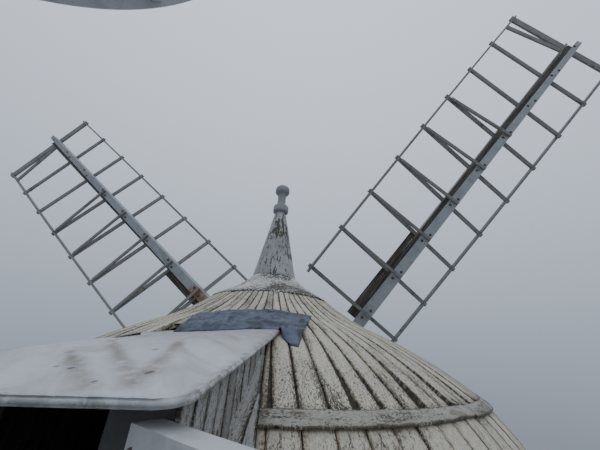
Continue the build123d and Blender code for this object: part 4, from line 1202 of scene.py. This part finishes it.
def ring_shape(middle, radius, thick, steps=28, sides=8):
    """A round ring that hangs flat against the door."""
    shape = bmesh.new()
    loops = []
    for n in range(steps):
        turn = 2 * pi * n / steps
        loop = []
        for m in range(sides):
            reach = radius + thick * cos(2 * pi * m / sides)
            spot = Vector((reach * sin(turn), thick * sin(2 * pi * m / sides), reach * cos(turn)))
            loop.append(shape.verts.new(Vector(middle) + spot))
        loops.append(loop)
    skinned(shape, [loops[-1], *loops])
    bmesh.ops.recalc_face_normals(shape, faces=shape.faces)
    return smoothed(shape)


def door_irons():
    """Two strap hinges with their pins, a lock plate and a ring to pull."""
    front, half = DOOR_FRONT, DOOR[0] / 2 - FRAME_FACE
    hinge_heights, strap_half, pin_radius = (0.42, 1.58), 0.026, 0.013
    shapes = []
    for z in (DOOR_STEP + height for height in hinge_heights):
        low, high = (-half - 0.02, front - 0.007, z - strap_half), (half * 0.55, front, z + strap_half)
        strap = block_shape(low, high, 0.002)
        for vert in strap.verts:
            share = (vert.co.x + half) / (1.55 * half)
            vert.co.z = z + (vert.co.z - z) * (1.0 - 0.45 * share)
        shapes.append(strap)
        shapes.append(plug_shape(20, pin_radius, pin_radius, 0.09, (-half - 0.015, front - 0.008, z)))
    shapes.append(block_shape((half - 0.13, front - 0.006, DOOR_STEP + 0.98),
                              (half - 0.05, front, DOOR_STEP + 1.14), 0.002))
    shapes.append(ring_shape((half - 0.09, front - 0.016, DOOR_STEP + 1.045), 0.042, 0.006))
    for shape in shapes:
        shape.transform(HALF_TURN)
    finished("door_irons", gathered("door_irons", shapes), "tower", "dark_iron", "iron")


# Bolts

def bolts(name, places, radius, body):
    """Square plates with domed nuts, one at each place and facing."""
    plate = block_shape((-radius, -radius, -0.004), (radius, radius, 0.004), 0.001)
    nut = plug_shape(6, radius * 0.62, radius * 0.5, 0.016, (0, 0, 0.010))
    stud = linked(name, gathered(name, [plate, nut]))
    points = bpy.data.meshes.new(name)
    points.from_pydata([tuple(place) for place, _ in places], [], [])
    facing = points.attributes.new("facing", "FLOAT_VECTOR", "POINT")
    for number, (_, way) in enumerate(places):
        facing.data[number].vector = way
    mesh = grown(name, STUDS, {"Stud": stud, "Finish": FINISHES["bolt_iron"]}, points)
    bpy.data.objects.remove(stud)
    finished(name, mesh, body, "dark_iron", "bolt_iron")


def sail_bolts():
    """Two bolts through each back beside every bar."""
    start, end = BACK_SPAN
    deep, slim = BACK_DEPTHS
    aside, beside_bar, end_margin = 0.030, 0.11, 0.05
    places = []
    for number in range(4):
        place = sail_place(number)
        facing = place.to_3x3() @ Vector((0, 0, 1))
        for bay in range(BAYS + 1):
            for side in (-1, 1):
                radius = HEEL_RADIUS + bay * BAY + beside_bar * side
                if radius > end - end_margin:
                    continue
                rear = BACK_FRONT + deep - (deep - slim) * (radius - start) / (end - start)
                places.append((place @ Vector((aside * side, radius, rear)), facing))
    bolts("sail_bolts", places, 0.026, "sails")


def rail_bolts():
    """A bolt through each guard rail's end beside the hatch."""
    reach = (RAIL_CORNER - RAIL_END).normalized()
    inset, rail_half = 0.030, 0.0475
    places = []
    for side in (-1, 1):
        along, out = Vector((reach.x * side, reach.y, 0)), Vector((-reach.y * side, reach.x, 0))
        end = Vector((RAIL_END.x * side, RAIL_END.y, RAIL_BOLT_Z))
        places.append((end + along * inset + out * rail_half, out))
    bolts("rail_bolts", places, 0.014, "cap")


# Fan stage

def deck_boards():
    """Boards of the fan stage, laid along it."""
    low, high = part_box("stage_floor")
    count, thick, seed = 17, 0.034, 83
    pitch = (high[0] - low[0]) / count
    mesh = board_row("deck_boards", count, pitch, thick, high[1] - low[1], 0.0, seed, "deck_timber")
    mesh.transform(Matrix.Translation((low[0] + pitch / 2, low[1], high[2] - 0.001)))
    finished("deck_boards", mesh, "cap", "stage_boards", "deck_timber", replaces=("stage_floor",))


# The pieces, in the order that they are made
DOOR_FRONT = 0.035 - DOOR_BOARD_THICK - (tower_radius(DOOR_STEP + DOOR[1]) - FRAME_RECESS)
RING, ROW, ARCH, STUDS = ring_tree(), row_tree(), arch_tree(), stud_tree()
dress_cad_nodes()
cap_boards("upper_cap_boards", upper_line(), 11, 0.05)
cap_boards("lower_cap_boards", lower_line(), 37, 0.0)
canopy_sheet()
cheek_boards()
return_boards(1, "left")
return_boards(-1, "right")
knuckle_strips()
flashing()
spire()
finial()
deck_boards()
rail_bolts()
sail_bolts()
glazing_bars()
arch_bricks()
door_boards()
door_irons()


# Floor, light and camera

def floor():
    bpy.ops.mesh.primitive_plane_add(size=70, location=(0, 0, 0))
    plane = bpy.context.active_object
    plane.name = "studio_floor"
    plane.data.materials.append(finish("studio_floor", lambda tree: {
        "Base Color": (0.60, 0.60, 0.59, 1), "Roughness": 0.9}))


def soft_light():
    """A sky that pales upwards, and one large lamp over the mill."""
    world = bpy.data.worlds.new("soft_sky")
    bpy.context.scene.world = world
    world.use_nodes = True
    tree = world.node_tree
    where = tree.nodes.new("ShaderNodeTexCoord").outputs["Generated"]
    height = add(tree, "ShaderNodeSeparateXYZ", {"Vector": where}).outputs["Z"]
    rise = add(tree, "ShaderNodeMapRange", {"Value": height, "From Min": -0.15, "From Max": 0.95}).outputs[0]
    fill(tree.nodes["Background"], {"Color": blend(rise, (0.27, 0.31, 0.37), (0.92, 1.02, 1.20))})
    lamp = bpy.data.lights.new("overhead", "AREA")
    lamp.shape = "DISK"
    lamp.size, lamp.energy, lamp.color = 34, 1500, (1.0, 0.99, 0.97)
    holder = linked("overhead", lamp)
    holder.location = (-10, 16, 46)
    holder.rotation_euler = (HUB - holder.location).to_track_quat("-Z", "Y").to_euler()


def photo_camera():
    """Stands on the fan stage at eye height and looks up over the cap."""
    ahead = Vector((-sin(HEADING) * cos(PITCH), -cos(HEADING) * cos(PITCH), sin(PITCH)))
    right = Vector((-cos(HEADING), sin(HEADING), 0))
    up = right.cross(ahead)
    side = right * cos(ROLL) + up * sin(ROLL)
    top = up * cos(ROLL) - right * sin(ROLL)
    lens = bpy.data.cameras.new("photo_camera")
    lens.sensor_width = 36
    lens.lens = lens.sensor_width * FOCAL / PHOTO_WIDTH
    lens.clip_start, lens.clip_end = 0.05, 500
    camera = linked("photo_camera", lens)
    camera.matrix_world = Matrix.Translation(EYE) @ Matrix((side, top, -ahead)).transposed().to_4x4()
    bpy.context.scene.camera = camera


floor()
soft_light()
photo_camera()
